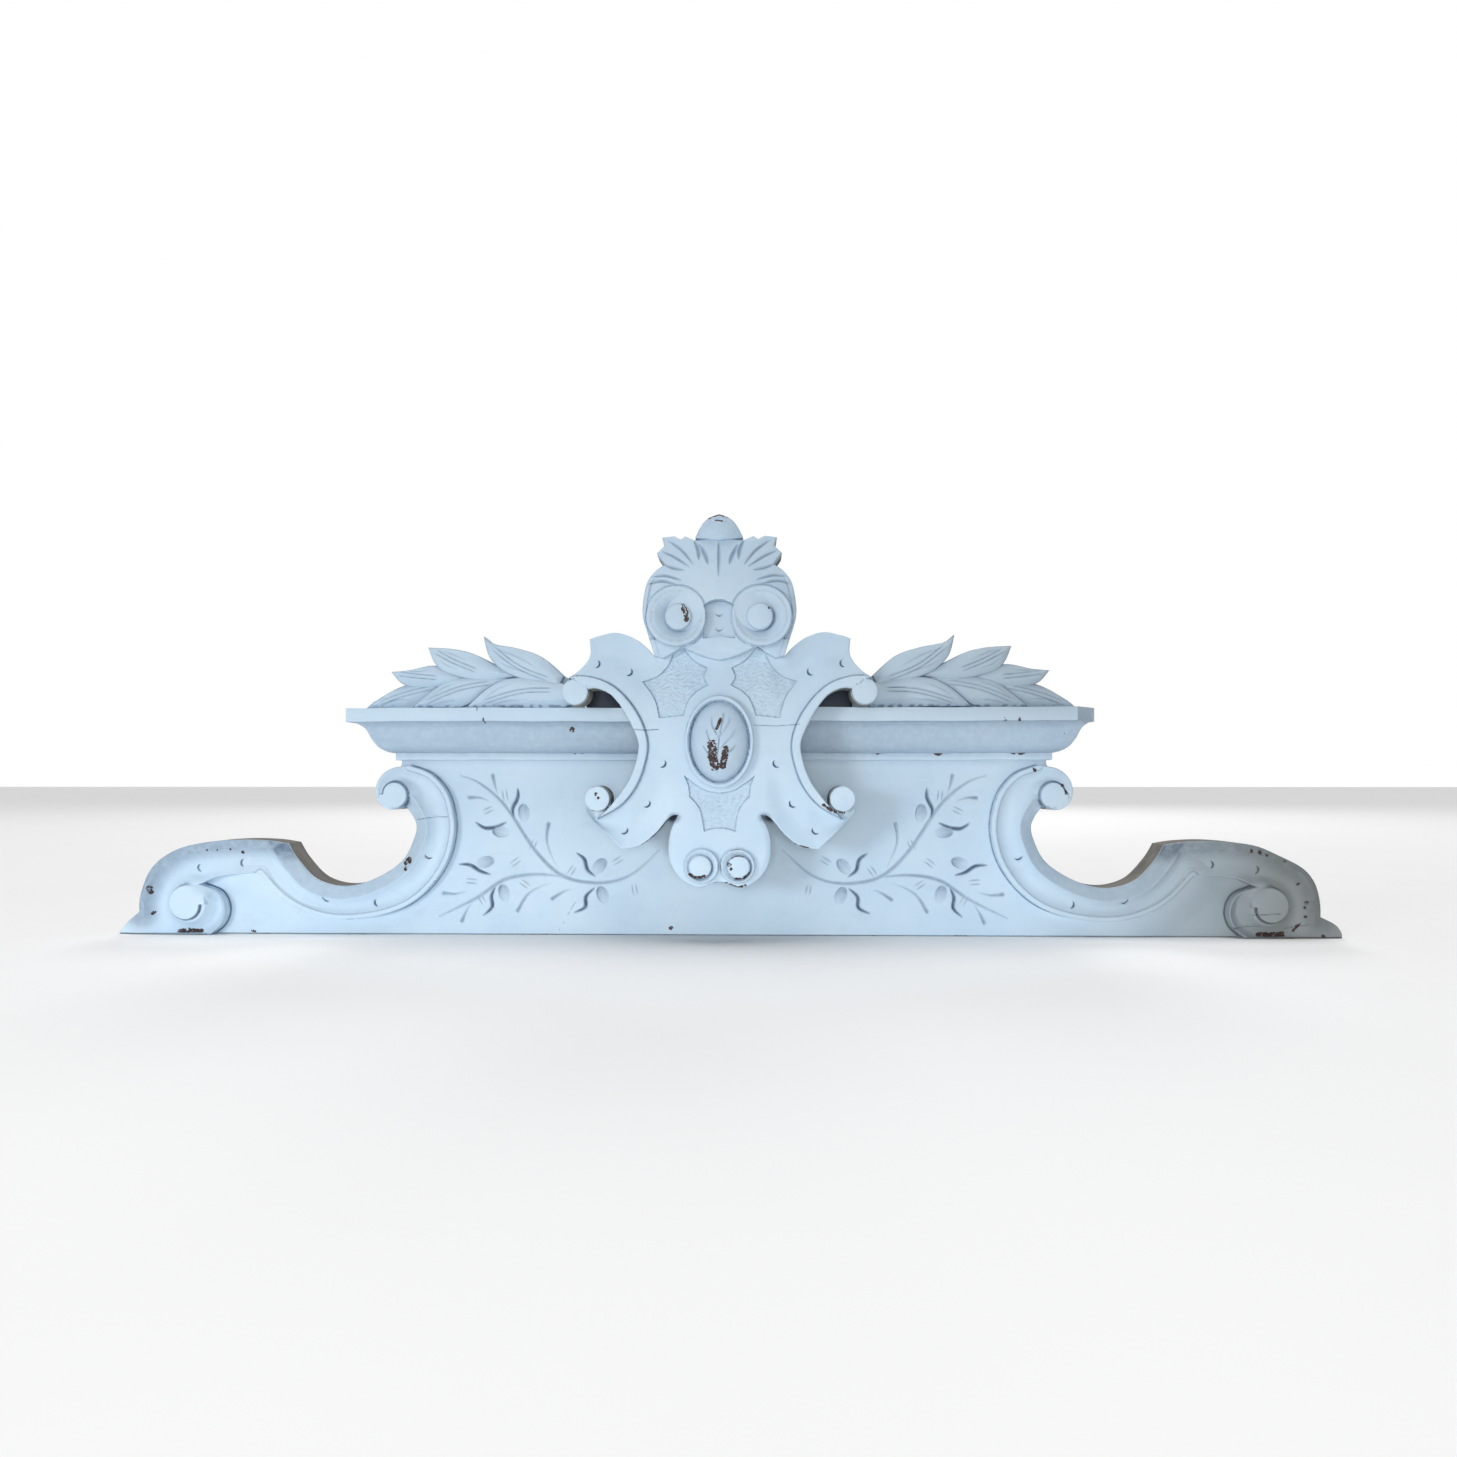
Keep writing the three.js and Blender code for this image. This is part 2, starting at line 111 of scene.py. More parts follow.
# Vine cut into the field: lines, then scoops and ticks as x, z and direction in radians
STEM = [(80, 112), (118, 79), (160, 68), (208, 77), (245, 111), (284, 169), (318, 199), (344, 209)]
SHOOT = [(205, 76), (245, 79), (285, 72), (322, 48), (372, 23)]
TWIGS = [
    [(227, 146), (229, 120), (215, 86)], [(301, 209), (298, 196), (294, 183)],
    [(332, 180), (318, 180), (304, 175)], [(268, 31), (252, 55), (222, 69)],
    [(342, 17), (336, 30), (328, 42)], [(366, 54), (350, 53), (334, 57)], [(222, 47), (208, 56), (196, 60)],
]
LEAF_STROKES = [
    [(268, 192), (268, 180), (275, 165), (273, 153)], [(323, 147), (312, 140), (298, 141), (284, 147)],
    [(345, 92), (331, 91), (318, 83), (305, 79)], [(313, 25), (302, 36), (303, 50), (298, 62)],
    [(190, 107), (180, 99), (176, 85), (166, 77)], [(193, 29), (179, 36), (178, 50), (167, 61)],
]
LEAF_SCOOPS = [
    (260, 160, 1.45), (290, 135, 0.1), (311, 95, 2.85), (286, 54, 1.3), (160, 90, 2.3), (156, 52, 1.2),
]
TICKS = [
    (285, 184, 1.45), (306, 164, 2.7), (247, 119, 1.95), (270, 96, 2.5), (196, 85, 2.2), (135, 98, 2.6),
    (114, 61, 1.4), (317, 48, 1.0), (260, 67, 0.6), (331, 70, 0.1),
]
FIELD_CRACK = [(-193, 41), (-203, 24), (-213, 6)]

# Leaves of a spray: upper edge from the base to the tip, lower edge back, and how far the front stands out
SPRAY_BACK = 46
SPRAY_BODY = [
    (170, 296), (452, 296), (436, 308), (399, 323), (376, 338), (356, 350), (322, 350), (286, 353),
    (236, 348), (190, 335), (170, 322),
]
SPRAY_LEAVES = [
    ([(193, 336), (222, 361), (253, 372), (283, 378), (297, 388)],
     [(297, 388), (290, 362), (272, 343), (245, 332), (193, 322)], 80),
    ([(254, 336), (285, 353), (312, 366), (338, 372), (370, 374)],
     [(370, 374), (361, 353), (344, 340), (300, 331), (254, 336)], 76),
    ([(322, 334), (345, 346), (366, 351), (396, 345), (419, 343)],
     [(419, 343), (404, 327), (380, 322), (350, 324), (322, 334)], 73),
    ([(330, 332), (362, 331), (404, 325), (437, 308), (452, 296)],
     [(452, 296), (420, 296), (395, 298), (362, 318), (330, 332)], 70),
    ([(262, 334), (300, 336), (340, 333), (366, 318), (392, 296)],
     [(392, 296), (360, 296), (322, 298), (292, 321), (262, 334)], 75),
    ([(180, 322), (215, 332), (262, 334), (292, 321), (320, 296)],
     [(320, 296), (270, 296), (190, 296), (180, 322)], 80),
]
SPRAY_VEINS = [
    [(205, 329), (250, 347), (291, 378)], [(300, 341), (334, 355), (364, 371)],
    [(352, 334), (384, 337), (413, 341)], [(348, 326), (400, 314), (440, 299)],
    [(280, 329), (330, 320), (380, 299)], [(200, 318), (250, 316), (306, 299)],
]
SPRAY_LINES = [
    [(226, 346), (256, 362), (280, 370)], [(238, 340), (262, 347), (278, 356)],
    [(318, 356), (338, 365), (352, 369)], [(330, 345), (344, 350), (354, 358)],
    [(366, 344), (386, 343), (400, 342)], [(392, 306), (412, 306), (428, 301)],
    [(330, 306), (350, 303), (366, 298)], [(240, 306), (266, 304), (290, 298)],
    [(330, 328), (350, 321), (366, 310)], [(258, 327), (280, 318), (296, 306)],
]
SPRAY_SHIFT = {-1: 8, 1: 0}

# Outlines of the right half of the cartouche
CREST_TEETH = [
    (0, 496), (30, 493), (41, 499), (47, 495), (55, 500), (70, 499), (67, 487), (76, 478), (66, 463),
]
CREST_SIDE = [(66, 463), (78, 455), (88, 441), (93, 417), (93, 400), (88, 383), (79, 354)]
KNOB = [(0, 524), (14, 518), (23, 507), (29, 496), (15, 493), (0, 491)]
EAR = [(79, 354), (90, 366), (107, 378), (128, 384), (148, 380), (160, 376)]
EAR_SIDE = [(160, 376), (160, 357), (170, 341), (184, 329)]
EAR_VOLUTE = (177, 311, 16.5)
C_EDGE = [
    (162, 314), (150, 315), (134, 308), (123, 296), (114, 282), (105, 264), (99, 246), (103, 222),
    (112, 200), (124, 183), (134, 171),
]
C_LINE = [
    (186, 330), (162, 330), (135, 321), (113, 302), (96, 276), (88, 249), (91, 224), (102, 195), (122, 171),
    (150, 155),
]
FOOT_VOLUTE = (150, 180, 16)
LOWER_EAR = [(165, 164), (149, 146), (121, 118)]
LOWER_EAR_FOOT = [(121, 118), (99, 122), (80, 136), (64, 155), (56, 160)]
LOBE = [(51, 160), (60, 141), (63, 122), (61, 103), (52, 86), (38, 75), (25, 71), (9, 76), (0, 78)]
UPPER_PANEL = [
    [(46, 367), (55, 360), (64, 342), (78, 330), (95, 324)], [(95, 324), (83, 308), (77, 294), (74, 279)],
    [(74, 279), (44, 282)], [(44, 282), (38, 300), (28, 311), (14, 319)], [(14, 319), (19, 329), (15, 340)],
    [(15, 340), (32, 350), (46, 367)],
]
LOWER_PANEL = [
    [(0, 187), (16, 190), (30, 198), (43, 208)], [(43, 208), (38, 196), (37, 183)],
    [(37, 183), (27, 172), (22, 160), (19, 140)], [(19, 140), (10, 143), (0, 144)],
]
BIG_VOLUTE = (51.5, 400, 36)
BIG_EYE = (49, 399, 16)
FOOT_SPIRAL = (22, 98, 20.5)
FOOT_EYE = (23.5, 97, 14)
OVAL_HEIGHT, OVAL_X, OVAL_Z = 249.5, 42, 56.5
OVAL_MEAN, EGG_INSET_X, EGG_INSET_Z = 46, 5.4, 5.6
CREST_VEINS = [
    [(0, 489), (0, 470), (0, 447)], [(23, 487), (16, 472), (13, 462)], [(62, 494), (45, 480), (31, 462)],
    [(69, 480), (54, 472), (36, 459)], [(30, 492), (25, 480), (24, 468)], [(66, 463), (55, 458), (42, 455)],
    [(80, 449), (64, 449), (46, 443)], [(86, 440), (70, 443), (52, 438)],
]
SPRIG = [
    [(-2, 210), (-1, 240), (3, 268), (7, 286)], [(-1, 236), (-12, 252), (-16, 268)],
    [(0, 240), (14, 254), (20, 264)], [(1, 252), (-8, 268), (-9, 280)], [(2, 256), (12, 272), (13, 282)],
    [(0, 228), (14, 238), (21, 246)], [(-1, 226), (-14, 236), (-20, 246)], [(1, 262), (5, 276), (4, 286)],
]
# Veins of the crest that are cut deeper, and the width and depth of both kinds
DEEP_VEINS, DEEP_CUT, PLAIN_CUT = (1, 4), (6.2, 3.8), (4.6, 3.2)
# Splits: line, width and depth
SPLITS = [([(-107, 265), (-92, 264), (-75, 265)], 1.4, 1.0), ([(98, 271), (70, 269), (42, 270)], 1.3, 0.8)]
SCROLL_CRACKS = [
    [(-401, 151), (-380, 154), (-358, 155)], [(655, 12), (690, 15)], [(680, 30), (714, 32)],
    [(725, 11), (752, 16)],
]

# Crescent gouge marks (x, z, direction of the opening in radians) and bare spots (x, z, radius)
SCROLL_MARKS = [
    (689, 87, 3.1), (630, 94, 3.1), (546, 48, 2.6), (518, 48, 2.3), (452, 42, 2.8), (384, 104, 2.0),
]
CARTOUCHE_MARKS = [(152, 346, 0.3), (112, 336, 0.6), (70, 223, 0.6), (90, 174, 0.7), (118, 141, 0.8)]
SADDLE_MARKS = [(0, 405, 1.57), (0, 387, 1.57)]
BARE_SPOTS = [
    (-410, 98, 6), (-414, 94, 4), (-413, 87, 4), (-754, 60, 5), (-752, 55, 3.5), (-751, 27, 4),
    (-630, 108, 3), (-620, 1, 5), (-66, 9, 4), (690, 110, 4), (699, 107, 3), (679, 112, 3.5),
    (722, 99, 2.5), (742, 69, 2.5), (752, 45, 3.5), (750, 39, 2.5), (751, 27, 2.5), (772, 2, 4),
    (404, 216, 4), (438, 196, 3.5), (-190, 267, 5), (441, 282, 3.5), (436, 262, 2), (-300, 277, 2.5),
    (375, 279, 3.5), (356, 279, 3), (-676, 111, 2), (-663, 111, 1.8), (-645, 112, 2), (12, 100, 4),
    (14, 95, 3), (60, 409, 2.2), (-151, 186, 3), (-148, 181, 2.5),
]
# Bare streaks: a line and its width
BARE_STREAKS = [
    ([(-716, 2), (-690, 2)], 12), ([(694, 2), (722, 3)], 12), ([(-44, 412), (-40, 406), (-39, 395)], 8),
    ([(-9, 246), (-8, 234), (-5, 219)], 15), ([(8, 240), (7, 229), (4, 220)], 11),
    ([(-4, 262), (2, 276)], 5), ([(-36, 88), (-28, 84), (-18, 86)], 5), ([(20, 83), (30, 84), (36, 90)], 4),
    ([(8, 76), (22, 71), (32, 73)], 5), ([(98, 121), (109, 118)], 6),
    ([(126, 173), (138, 165), (152, 163)], 5), ([(-12, 520), (0, 524), (10, 521)], 7),
    ([(-4, 515), (4, 514)], 2.5), ([(737, 9), (744, 17)], 5), ([(440, 193), (445, 186)], 3),
    ([(-307, 281), (-306, 288), (-308, 294)], 2.2),
]


COLOUR = {"subtype": "COLOR", "size": 3}


class PedimentSizes(bpy.types.PropertyGroup):
    """How finely the carving is cut"""

    cell: bpy.props.FloatProperty(
        name="Cell", description="Grid of the carved faces, mm", default=3.15, min=1.0, max=8.0)
    edge_round: bpy.props.FloatProperty(
        name="Edge rounding", description="Softening of the arrises by paint, mm",
        default=1.3, min=0.2, max=4.0)
    vine_cut: bpy.props.FloatProperty(
        name="Vine cut", description="Depth of the incised vine, mm", default=2.6, min=0.5, max=6.0)
    cove_sink: bpy.props.FloatProperty(
        name="Cove", description="Depth of the hollow along the scrolls, mm", default=8.0, min=0.0, max=12.0)


class PedimentFinish(bpy.types.PropertyGroup):
    """Colours of the worn paint and of the wood under it"""

    paint: bpy.props.FloatVectorProperty(
        name="Paint", description="Pale blue paint", **COLOUR, default=(0.54, 0.70, 0.85))
    chalk: bpy.props.FloatVectorProperty(
        name="Chalk", description="Lighter, rubbed paint", **COLOUR, default=(0.62, 0.77, 0.89))
    # Colour of the soiling and painted shade in the cuts
    grime_and_shade: bpy.props.FloatVectorProperty(
        name="Grime", description="Dirt in the cuts", **COLOUR, default=(0.13, 0.19, 0.28))
    # Grey that the right end is mixed toward, standing for dusty paint and painted shade
    dust_and_shade: bpy.props.FloatVectorProperty(
        name="Dust", description="Greyed paint of the right wing", **COLOUR, default=(0.24, 0.265, 0.272))
    wood: bpy.props.FloatVectorProperty(
        name="Bare wood", description="Dark wood in the chips", **COLOUR, default=(0.030, 0.017, 0.016))
    raw_edge: bpy.props.FloatVectorProperty(
        name="Raw edge", description="Unpainted edges and back", **COLOUR, default=(0.11, 0.105, 0.095))


# Lines and distances


def smooth(points, per=6):
    """A rounded run of points through a few given ones."""
    last = len(points) - 1
    run = []
    for i in range(last):
        four = (points[max(i - 1, 0)], points[i], points[i + 1], points[min(i + 2, last)])
        for step in range(per):
            t = step / per
            run.append(tuple(
                b + 0.5 * t * (c - a + t * (2 * a - 5 * b + 4 * c - d + t * (3 * (b - c) + d - a)))
                for a, b, c, d in zip(*four)))
    return run + [tuple(points[last])]


def arc(circle, start, end, steps):
    """Points on a circle between two angles in degrees."""
    x, z, r = circle
    turns = [math.radians(start + (end - start) * i / steps) for i in range(steps + 1)]
    return [(x + r * math.cos(a), z + r * math.sin(a)) for a in turns]


def ring(circle, steps=48):
    return arc(circle, 0, 360, steps)[:-1]


def flip(points, side):
    return [(side * x, z) for x, z in points]


def both(half):
    """A half outline from the centre line and back, with its mirror image."""
    return half + [(-x, z) for x, z in reversed(half) if abs(x) > 0.01]


def nearest(line, x, z):
    """Distance to a line of points, and how far along the line the nearest place is, from 0 to 1."""
    best = np.full(x.shape, 1e9)
    place = np.zeros(x.shape)
    count = len(line) - 1
    for i, ((ax, az), (bx, bz)) in enumerate(zip(line, line[1:])):
        dx, dz = bx - ax, bz - az
        t = np.clip(((x - ax) * dx + (z - az) * dz) / (dx * dx + dz * dz + 1e-9), 0, 1)
        gap = np.hypot(x - ax - t * dx, z - az - t * dz)
        place = np.where(gap < best, (i + t) / count, place)
        best = np.minimum(best, gap)
    return best, place


def away(line, x, z):
    return nearest(line, x, z)[0]


def off(middle, x, z):
    """Distance from the middle of a circle or a mark."""
    return np.hypot(x - middle[0], z - middle[1])


def near_any(distance, things, x, z, reach):
    """True within reach of any of the lines (by away) or of the marks (by off)."""
    return np.logical_or.reduce([distance(thing, x, z) < reach for thing in things])


def inside(outline, x, z):
    """True where a point lies within a closed outline."""
    odd = np.zeros(x.shape, bool)
    for (ax, az), (bx, bz) in zip(outline, outline[1:] + outline[:1]):
        crosses = (az > z) != (bz > z)
        odd ^= crosses & (x < ax + (z - az) * (bx - ax) / (bz - az + 1e-12))
    return odd


def ease(value, low, high):
    """0 at low, 1 at high and a smooth change between; low may be the greater one."""
    t = np.clip((value - low) / (high - low), 0, 1)
    return t * t * (3 - 2 * t)


def peak(value, at, width):
    """1 where the value is at the given one, and 0 from a width away on both sides."""
    return np.clip(1 - np.abs(value - at) / width, 0, 1)


def ripple(x, z, pitch):
    """An uneven surface between -1 and 1 with bumps about one pitch wide."""
    u, v = x * 2 * math.pi / pitch, z * 2 * math.pi / pitch
    return (np.sin(u + 1.7 * np.sin(0.53 * v + 1.0)) * np.sin(0.9 * v + 1.4 * np.sin(0.61 * u))
            + 0.6 * np.sin(1.9 * u - 0.8 * v + 2.0 * np.sin(0.37 * v))) / 1.6


def stroke(line, x, z, width, depth, shape="swell"):
    """Depth of a gouge stroke: swelling in its middle, flared at its first end, or even."""
    d, place = nearest(line, x, z)
    place = np.clip(place, 0.03, 0.97)
    swell = {"swell": 0.3 + 0.7 * np.sin(np.pi * place) ** 0.7, "flare": 0.12 + 0.88 * (1 - place) ** 0.9,
             "even": np.ones(x.shape)}[shape]
    return depth * swell * np.clip(1 - d / (0.5 * width * swell), 0, 1)


def crescent(mark, x, z, radius=5.2, depth=4.0):
    """Depth of one crescent mark: a round gouge pressed in on one side."""
    cx, cz, turn = mark
    pressed = (cx + 0.5 * radius * math.cos(turn), cz + 0.5 * radius * math.sin(turn))
    return depth * np.clip(np.minimum(radius - off(mark, x, z), off(pressed, x, z) - radius) / 1.3, 0, 1)


def deepest(cuts):
    """The deepest of several cuts at each place."""
    return np.maximum.reduce(list(cuts))


def scoop(mark, x, z, length=12.0, width=7.5, depth=4.2):
    """Depth of an oval leaf scoop that sinks from one end to a crisp edge at the other."""
    cx, cz, turn = mark
    u = (x - cx) * math.cos(turn) + (z - cz) * math.sin(turn)
    v = -(x - cx) * math.sin(turn) + (z - cz) * math.cos(turn)
    edge = np.clip(5 * (1 - (u / length) ** 2 - (v / width) ** 2), 0, 1)
    ridge = 0.75 + 0.25 * np.clip(np.abs(v) / 2.5, 0, 1)
    return depth * edge * ridge * (0.12 + 0.88 * np.clip(0.5 + u / (2 * length), 0, 1) ** 1.3)


# Carved slabs

LAYERS = ("top", "drop", "dirt_and_shade")
BARE_FULL = 1.6
SHARP = math.radians(40)
# Small shifts that keep the grid off the corners of the outlines
GRID_X, GRID_Z = 0.31, 0.37


def drawing():
    """An empty drawing whose corners can tell their slab's front, rounded edge, and darkening by soiling and
    painted shade.
    """
    bm = bmesh.new()
    for label in LAYERS:
        bm.verts.layers.float.new(label)
    return bm


def add_slab(piece, *shape, **options):
    """Carves a slab in a drawing of its own, which is quicker, and adds it to the piece."""
    bm = drawing()
    carved_slab(bm, *shape, **options)
    sheet = bpy.data.meshes.new("slab")
    bm.to_mesh(sheet)
    bm.free()
    piece.from_mesh(sheet)
    bpy.data.meshes.remove(sheet)


def carved_slab(bm, outline, back, carve, cell, edge, fine=None, raw_walls=False, reach=None):
    """Adds a closed slab: an outline raised from its back, with its front face carved.

    carve(x, z) gives the depth of the front and how dark it is made by soiling and painted shade. fine(x, z)
    marks where the grid is cut finer, and reach limits the grid to a range of x on both sides.
    """
    top, drop, dirt_and_shade = (bm.verts.layers.float.get(label) for label in LAYERS)
    flat = bm.faces.new([bm.verts.new((x, -back, z)) for x, z in outline])
    flat.material_index = 1
    grown = bmesh.ops.extrude_face_region(bm, geom=[flat], use_keep_orig=True)["geom"]
    front = next(g for g in grown if isinstance(g, bmesh.types.BMFace))
    front.material_index = 0
    for v in front.verts:
        for f in v.link_faces:
            if f is not front:
                f.material_index = 1 if raw_walls else 0
    for width, fall in ((0, edge), (0.4 * edge, 0.3 * edge), (0.6 * edge, 0)):
        if width:
            bmesh.ops.inset_region(bm, faces=[front], thickness=width,
                                   use_even_offset=True, use_boundary=True)
        for v in front.verts:
            v.co.y = -back - 10
            v[top], v[drop] = 1, fall
    xs, zs = [x for x, _ in outline], [z for _, z in outline]
    across = [x for x in np.arange(min(xs) + GRID_X, max(xs), cell)
              if reach is None or reach[0] < abs(x) < reach[1]]
    sheet = sliced(bm, [front], across, 0)
    sheet = sliced(bm, sheet, list(np.arange(min(zs) + GRID_Z, max(zs), cell)), 2)
    refine(bm, sheet, fine)
    tops = [v for v in bm.verts if v[top] > 0.5]
    x = np.array([v.co.x for v in tops])
    z = np.array([v.co.z for v in tops])
    depth, soiled_and_shaded = carve(x, z)
    for v, reached, dark in zip(tops, depth, soiled_and_shaded):
        v.co.y = -max(reached - v[drop], back + 0.5)
        v[dirt_and_shade] = dark
        v[top] = 0


def unique(elements):
    """The elements without repeats, in the order in which they come."""
    return list(dict.fromkeys(elements))


def sliced(bm, faces, places, axis):
    """Cuts faces along parallel planes, always in halves, so that each cut meets few of them."""
    if not places or not faces:
        return faces
    middle = len(places) // 2
    normal = [0, 0, 0]
    normal[axis] = 1
    geom = faces + unique(e for f in faces for e in f.edges) + unique(v for f in faces for v in f.verts)
    at = [places[middle] * n for n in normal]
    halves = bmesh.ops.bisect_plane(bm, geom=geom, dist=1e-4, plane_co=at, plane_no=normal)["geom"]
    low, high = [], []
    for f in halves:
        if isinstance(f, bmesh.types.BMFace):
            (low if f.calc_center_median()[axis] < places[middle] else high).append(f)
    return sliced(bm, low, places[:middle], axis) + sliced(bm, high, places[middle + 1:], axis)


def refine(bm, faces, fine):
    """Cuts the faces finer where fine(x, z) is true and round bare spots."""
    centres = [f.calc_center_median() for f in faces]
    x, z = np.array([c.x for c in centres]), np.array([c.z for c in centres])
    chosen = fine(x, z) if fine else np.zeros(x.shape, bool)
    for spot in BARE_SPOTS:
        chosen |= off(spot, x, z) < 1.3 * spot[2] + 1
    for line, width in BARE_STREAKS:
        chosen |= away(line, x, z) < 0.65 * width + 1
    edges = unique(e for f, near in zip(faces, chosen) if near for e in f.edges)
    bmesh.ops.subdivide_edges(bm, edges=edges, cuts=2, use_grid_fill=True)


def dress(bm, name, nodes, materials):
    """Turns the drawing into a piece of the frame: metres, normals, attributes, materials and riding."""
    bmesh.ops.recalc_face_normals(bm, faces=bm.faces)
    drop, dirt_and_shade = bm.verts.layers.float.get("drop"), bm.verts.layers.float.get("dirt_and_shade")
    worn = [min(2 * v[drop], 1.0) for v in bm.verts]
    soiled_and_shaded = [v[dirt_and_shade] for v in bm.verts]
    x = np.array([v.co.x for v in bm.verts])
    z = np.array([v.co.z for v in bm.verts])
    bare = np.zeros(x.shape)
    for spot in BARE_SPOTS:
        bare = np.maximum(bare, BARE_FULL - off(spot, x, z) / spot[2])
    for line, width in BARE_STREAKS:
        bare = np.maximum(bare, BARE_FULL - 2 * away(line, x, z) / width)
    for label in LAYERS:
        bm.verts.layers.float.remove(bm.verts.layers.float[label])
    bmesh.ops.scale(bm, vec=(MM, MM, MM), verts=bm.verts)
    bmesh.ops.translate(bm, vec=(0, 0, BASE_Z), verts=bm.verts)
    mesh = bpy.data.meshes.new(name)
    bm.to_mesh(mesh)
    bm.free()
    # The darkness goes to the paint as soiling and painted shade, beside the wear and the bare spots
    for label, values in (("worn", worn), ("soiled_and_shaded", soiled_and_shaded), ("bare", np.clip(bare, 0, 1))):
        mesh.attributes.new(label, "FLOAT", "POINT").data.foreach_set("value", np.array(values, np.float32))
    mesh.polygons.foreach_set("use_smooth", [True] * len(mesh.polygons))
    mesh.set_sharp_from_angle(angle=SHARP)
    for material in materials:
        mesh.materials.append(material)
    piece = bpy.data.objects.new(name, mesh)
    bpy.context.scene.collection.objects.link(piece)
    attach(piece, "root")
    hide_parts(*nodes)


# Materials

PIT_SHADE = (0.016, 0.024, 0.042)


class NodeDesk:
    """Short words for laying out shader nodes."""

    def __init__(self, name):
        self.material = bpy.data.materials.new(name)
        self.material.use_nodes = True
        self.tree = self.material.node_tree
        self.shader = self.tree.nodes["Principled BSDF"]

    def feed(self, node, inputs):
        """Gives each named input of a node its value, or links it to another node's output."""
        for name, value in inputs.items():
            socket = node.inputs[name]
            if isinstance(value, bpy.types.NodeSocket):
                self.tree.links.new(value, socket)
            else:
                socket.default_value = (*value, 1) if socket.type == "RGBA" else value

    def node(self, kind, inputs=None, **settings):
        """Adds a node and gives its outputs."""
        made = self.tree.nodes.new(kind)
        for key, value in settings.items():
            setattr(made, key, value)
        self.feed(made, inputs or {})
        return made.outputs

    def noise(self, scale, detail=4.0, roughness=0.55, stretch=(1, 1, 1)):
        place = self.node("ShaderNodeTexCoord")["Object"]
        place = self.node("ShaderNodeMapping", {"Vector": place, "Scale": stretch})["Vector"]
        grain = {"Vector": place, "Scale": scale, "Detail": detail, "Roughness": roughness}
        return self.node("ShaderNodeTexNoise", grain)["Fac"]

    def attribute(self, name):
        return self.node("ShaderNodeAttribute", attribute_name=name)["Fac"]

    def math(self, operation, a, b):
        return self.node("ShaderNodeMath", {0: a, 1: b}, operation=operation)["Value"]

    def plus(self, a, b):
        return self.math("ADD", a, b)

    def times(self, a, b):
        return self.math("MULTIPLY", a, b)

    def most(self, a, b):
        return self.math("MAXIMUM", a, b)

    def between(self, value, low, high, to=(0, 1)):
        """The value spread from one result at low to the other at high."""
        spread = {"Value": value, "From Min": low, "From Max": high, "To Min": to[0], "To Max": to[1]}
        return self.node("ShaderNodeMapRange", spread)["Result"]

    def mix(self, factor, first, second):
        tones = {"Factor": factor, "A": first, "B": second}
        return self.node("ShaderNodeMix", tones, data_type="RGBA")["Result"]

    def bump(self, height, strength, distance):
        relief = {"Height": height, "Strength": strength, "Distance": distance}
        return self.node("ShaderNodeBump", relief)["Normal"]


def tinted(colour, share):
    return tuple(share * c for c in colour)


def worn_paint(finish):
    """Brushed pale blue paint, rubbed and grimy, darkened with painted shade, chipped to dark wood."""
    desk = NodeDesk("worn_blue_paint")
    streaks = desk.noise(40, 6, 0.65, stretch=(0.35, 1, 1))
    flakes = desk.noise(190, 6, 0.62)
    soiled_and_shaded = desk.attribute("soiled_and_shaded")
    place = desk.node("ShaderNodeTexCoord")["Object"]
    along = desk.node("ShaderNodeSeparateXYZ", {"Vector": place})
    across, height = along["X"], along["Z"]

    # Rubbed patches, blotches, a top darkened as painted shade, and the right end and the right of the top
    # greyed as dusty paint and painted shade
    patches = desk.between(desk.noise(9, 5, 0.6), 0.38, 0.66)
    colour = desk.mix(desk.times(patches, 0.8), finish.paint, finish.chalk)
    blotches = desk.between(desk.plus(streaks, desk.times(desk.noise(160, 3), 0.35)), 0.72, 0.92)
    colour = desk.mix(desk.times(blotches, 0.30), colour, tinted(finish.paint, 0.84))
    top_shade = desk.times(desk.between(height, -0.14, 0.20), 0.51)
    colour = desk.mix(top_shade, colour, tinted(finish.paint, 0.45))
    upper_right_shade = desk.times(desk.between(across, 0.12, 0.40), desk.between(height, 0.06, 0.10))
    dust_and_shade = desk.most(desk.between(across, 0.40, 0.72), desk.times(upper_right_shade, 0.42))
    colour = desk.mix(dust_and_shade, colour, finish.dust_and_shade)

    # Soiling and painted shade in the cuts, and painted deep shade in the pits
    uneven = desk.plus(desk.times(desk.between(desk.noise(120, 4), 0.2, 0.6), 0.4), 0.5)
    cuts = desk.math("MINIMUM", desk.times(desk.times(soiled_and_shaded, uneven), 0.76), 1.0)
    colour = desk.mix(cuts, colour, desk.mix(dust_and_shade, finish.grime_and_shade, tinted(finish.dust_and_shade, 0.42)))
    colour = desk.mix(desk.between(soiled_and_shaded, 1.8, 2.8), colour, PIT_SHADE)

    # Chips at the bare spots, along the worn arrises and in stray specks
    ragged = desk.plus(desk.times(flakes, 1.2), desk.noise(420, 4, 0.6))
    spots = desk.between(desk.plus(desk.attribute("bare"), ragged), 1.94, 2.0)
    rubbed = desk.plus(desk.times(desk.attribute("worn"), 0.34),
                       desk.plus(desk.noise(34, 3), desk.times(flakes, 0.5)))
    specks = desk.plus(flakes, desk.times(desk.noise(27, 2), 0.5))
    chips = desk.most(desk.most(spots, desk.between(rubbed, 1.21, 1.235)), desk.between(specks, 1.075, 1.085))
    wood = desk.mix(desk.noise(300, 3, stretch=(0.2, 1, 1)), finish.wood, tinted(finish.wood, 2.2))
    colour = desk.mix(chips, colour, wood)

    roughness = desk.between(streaks, 0, 1, (0.44, 0.66))
    brush = desk.plus(desk.noise(70, 5, 0.6, stretch=(0.25, 1, 1)), desk.times(flakes, 0.25))
    relief = desk.math("SUBTRACT", brush, desk.times(chips, 1.2))
    desk.feed(desk.shader, {"Base Color": colour, "Roughness": roughness, "Specular IOR Level": 0.35,
                            "Normal": desk.bump(relief, 0.35, 0.0012)})
    return desk.material


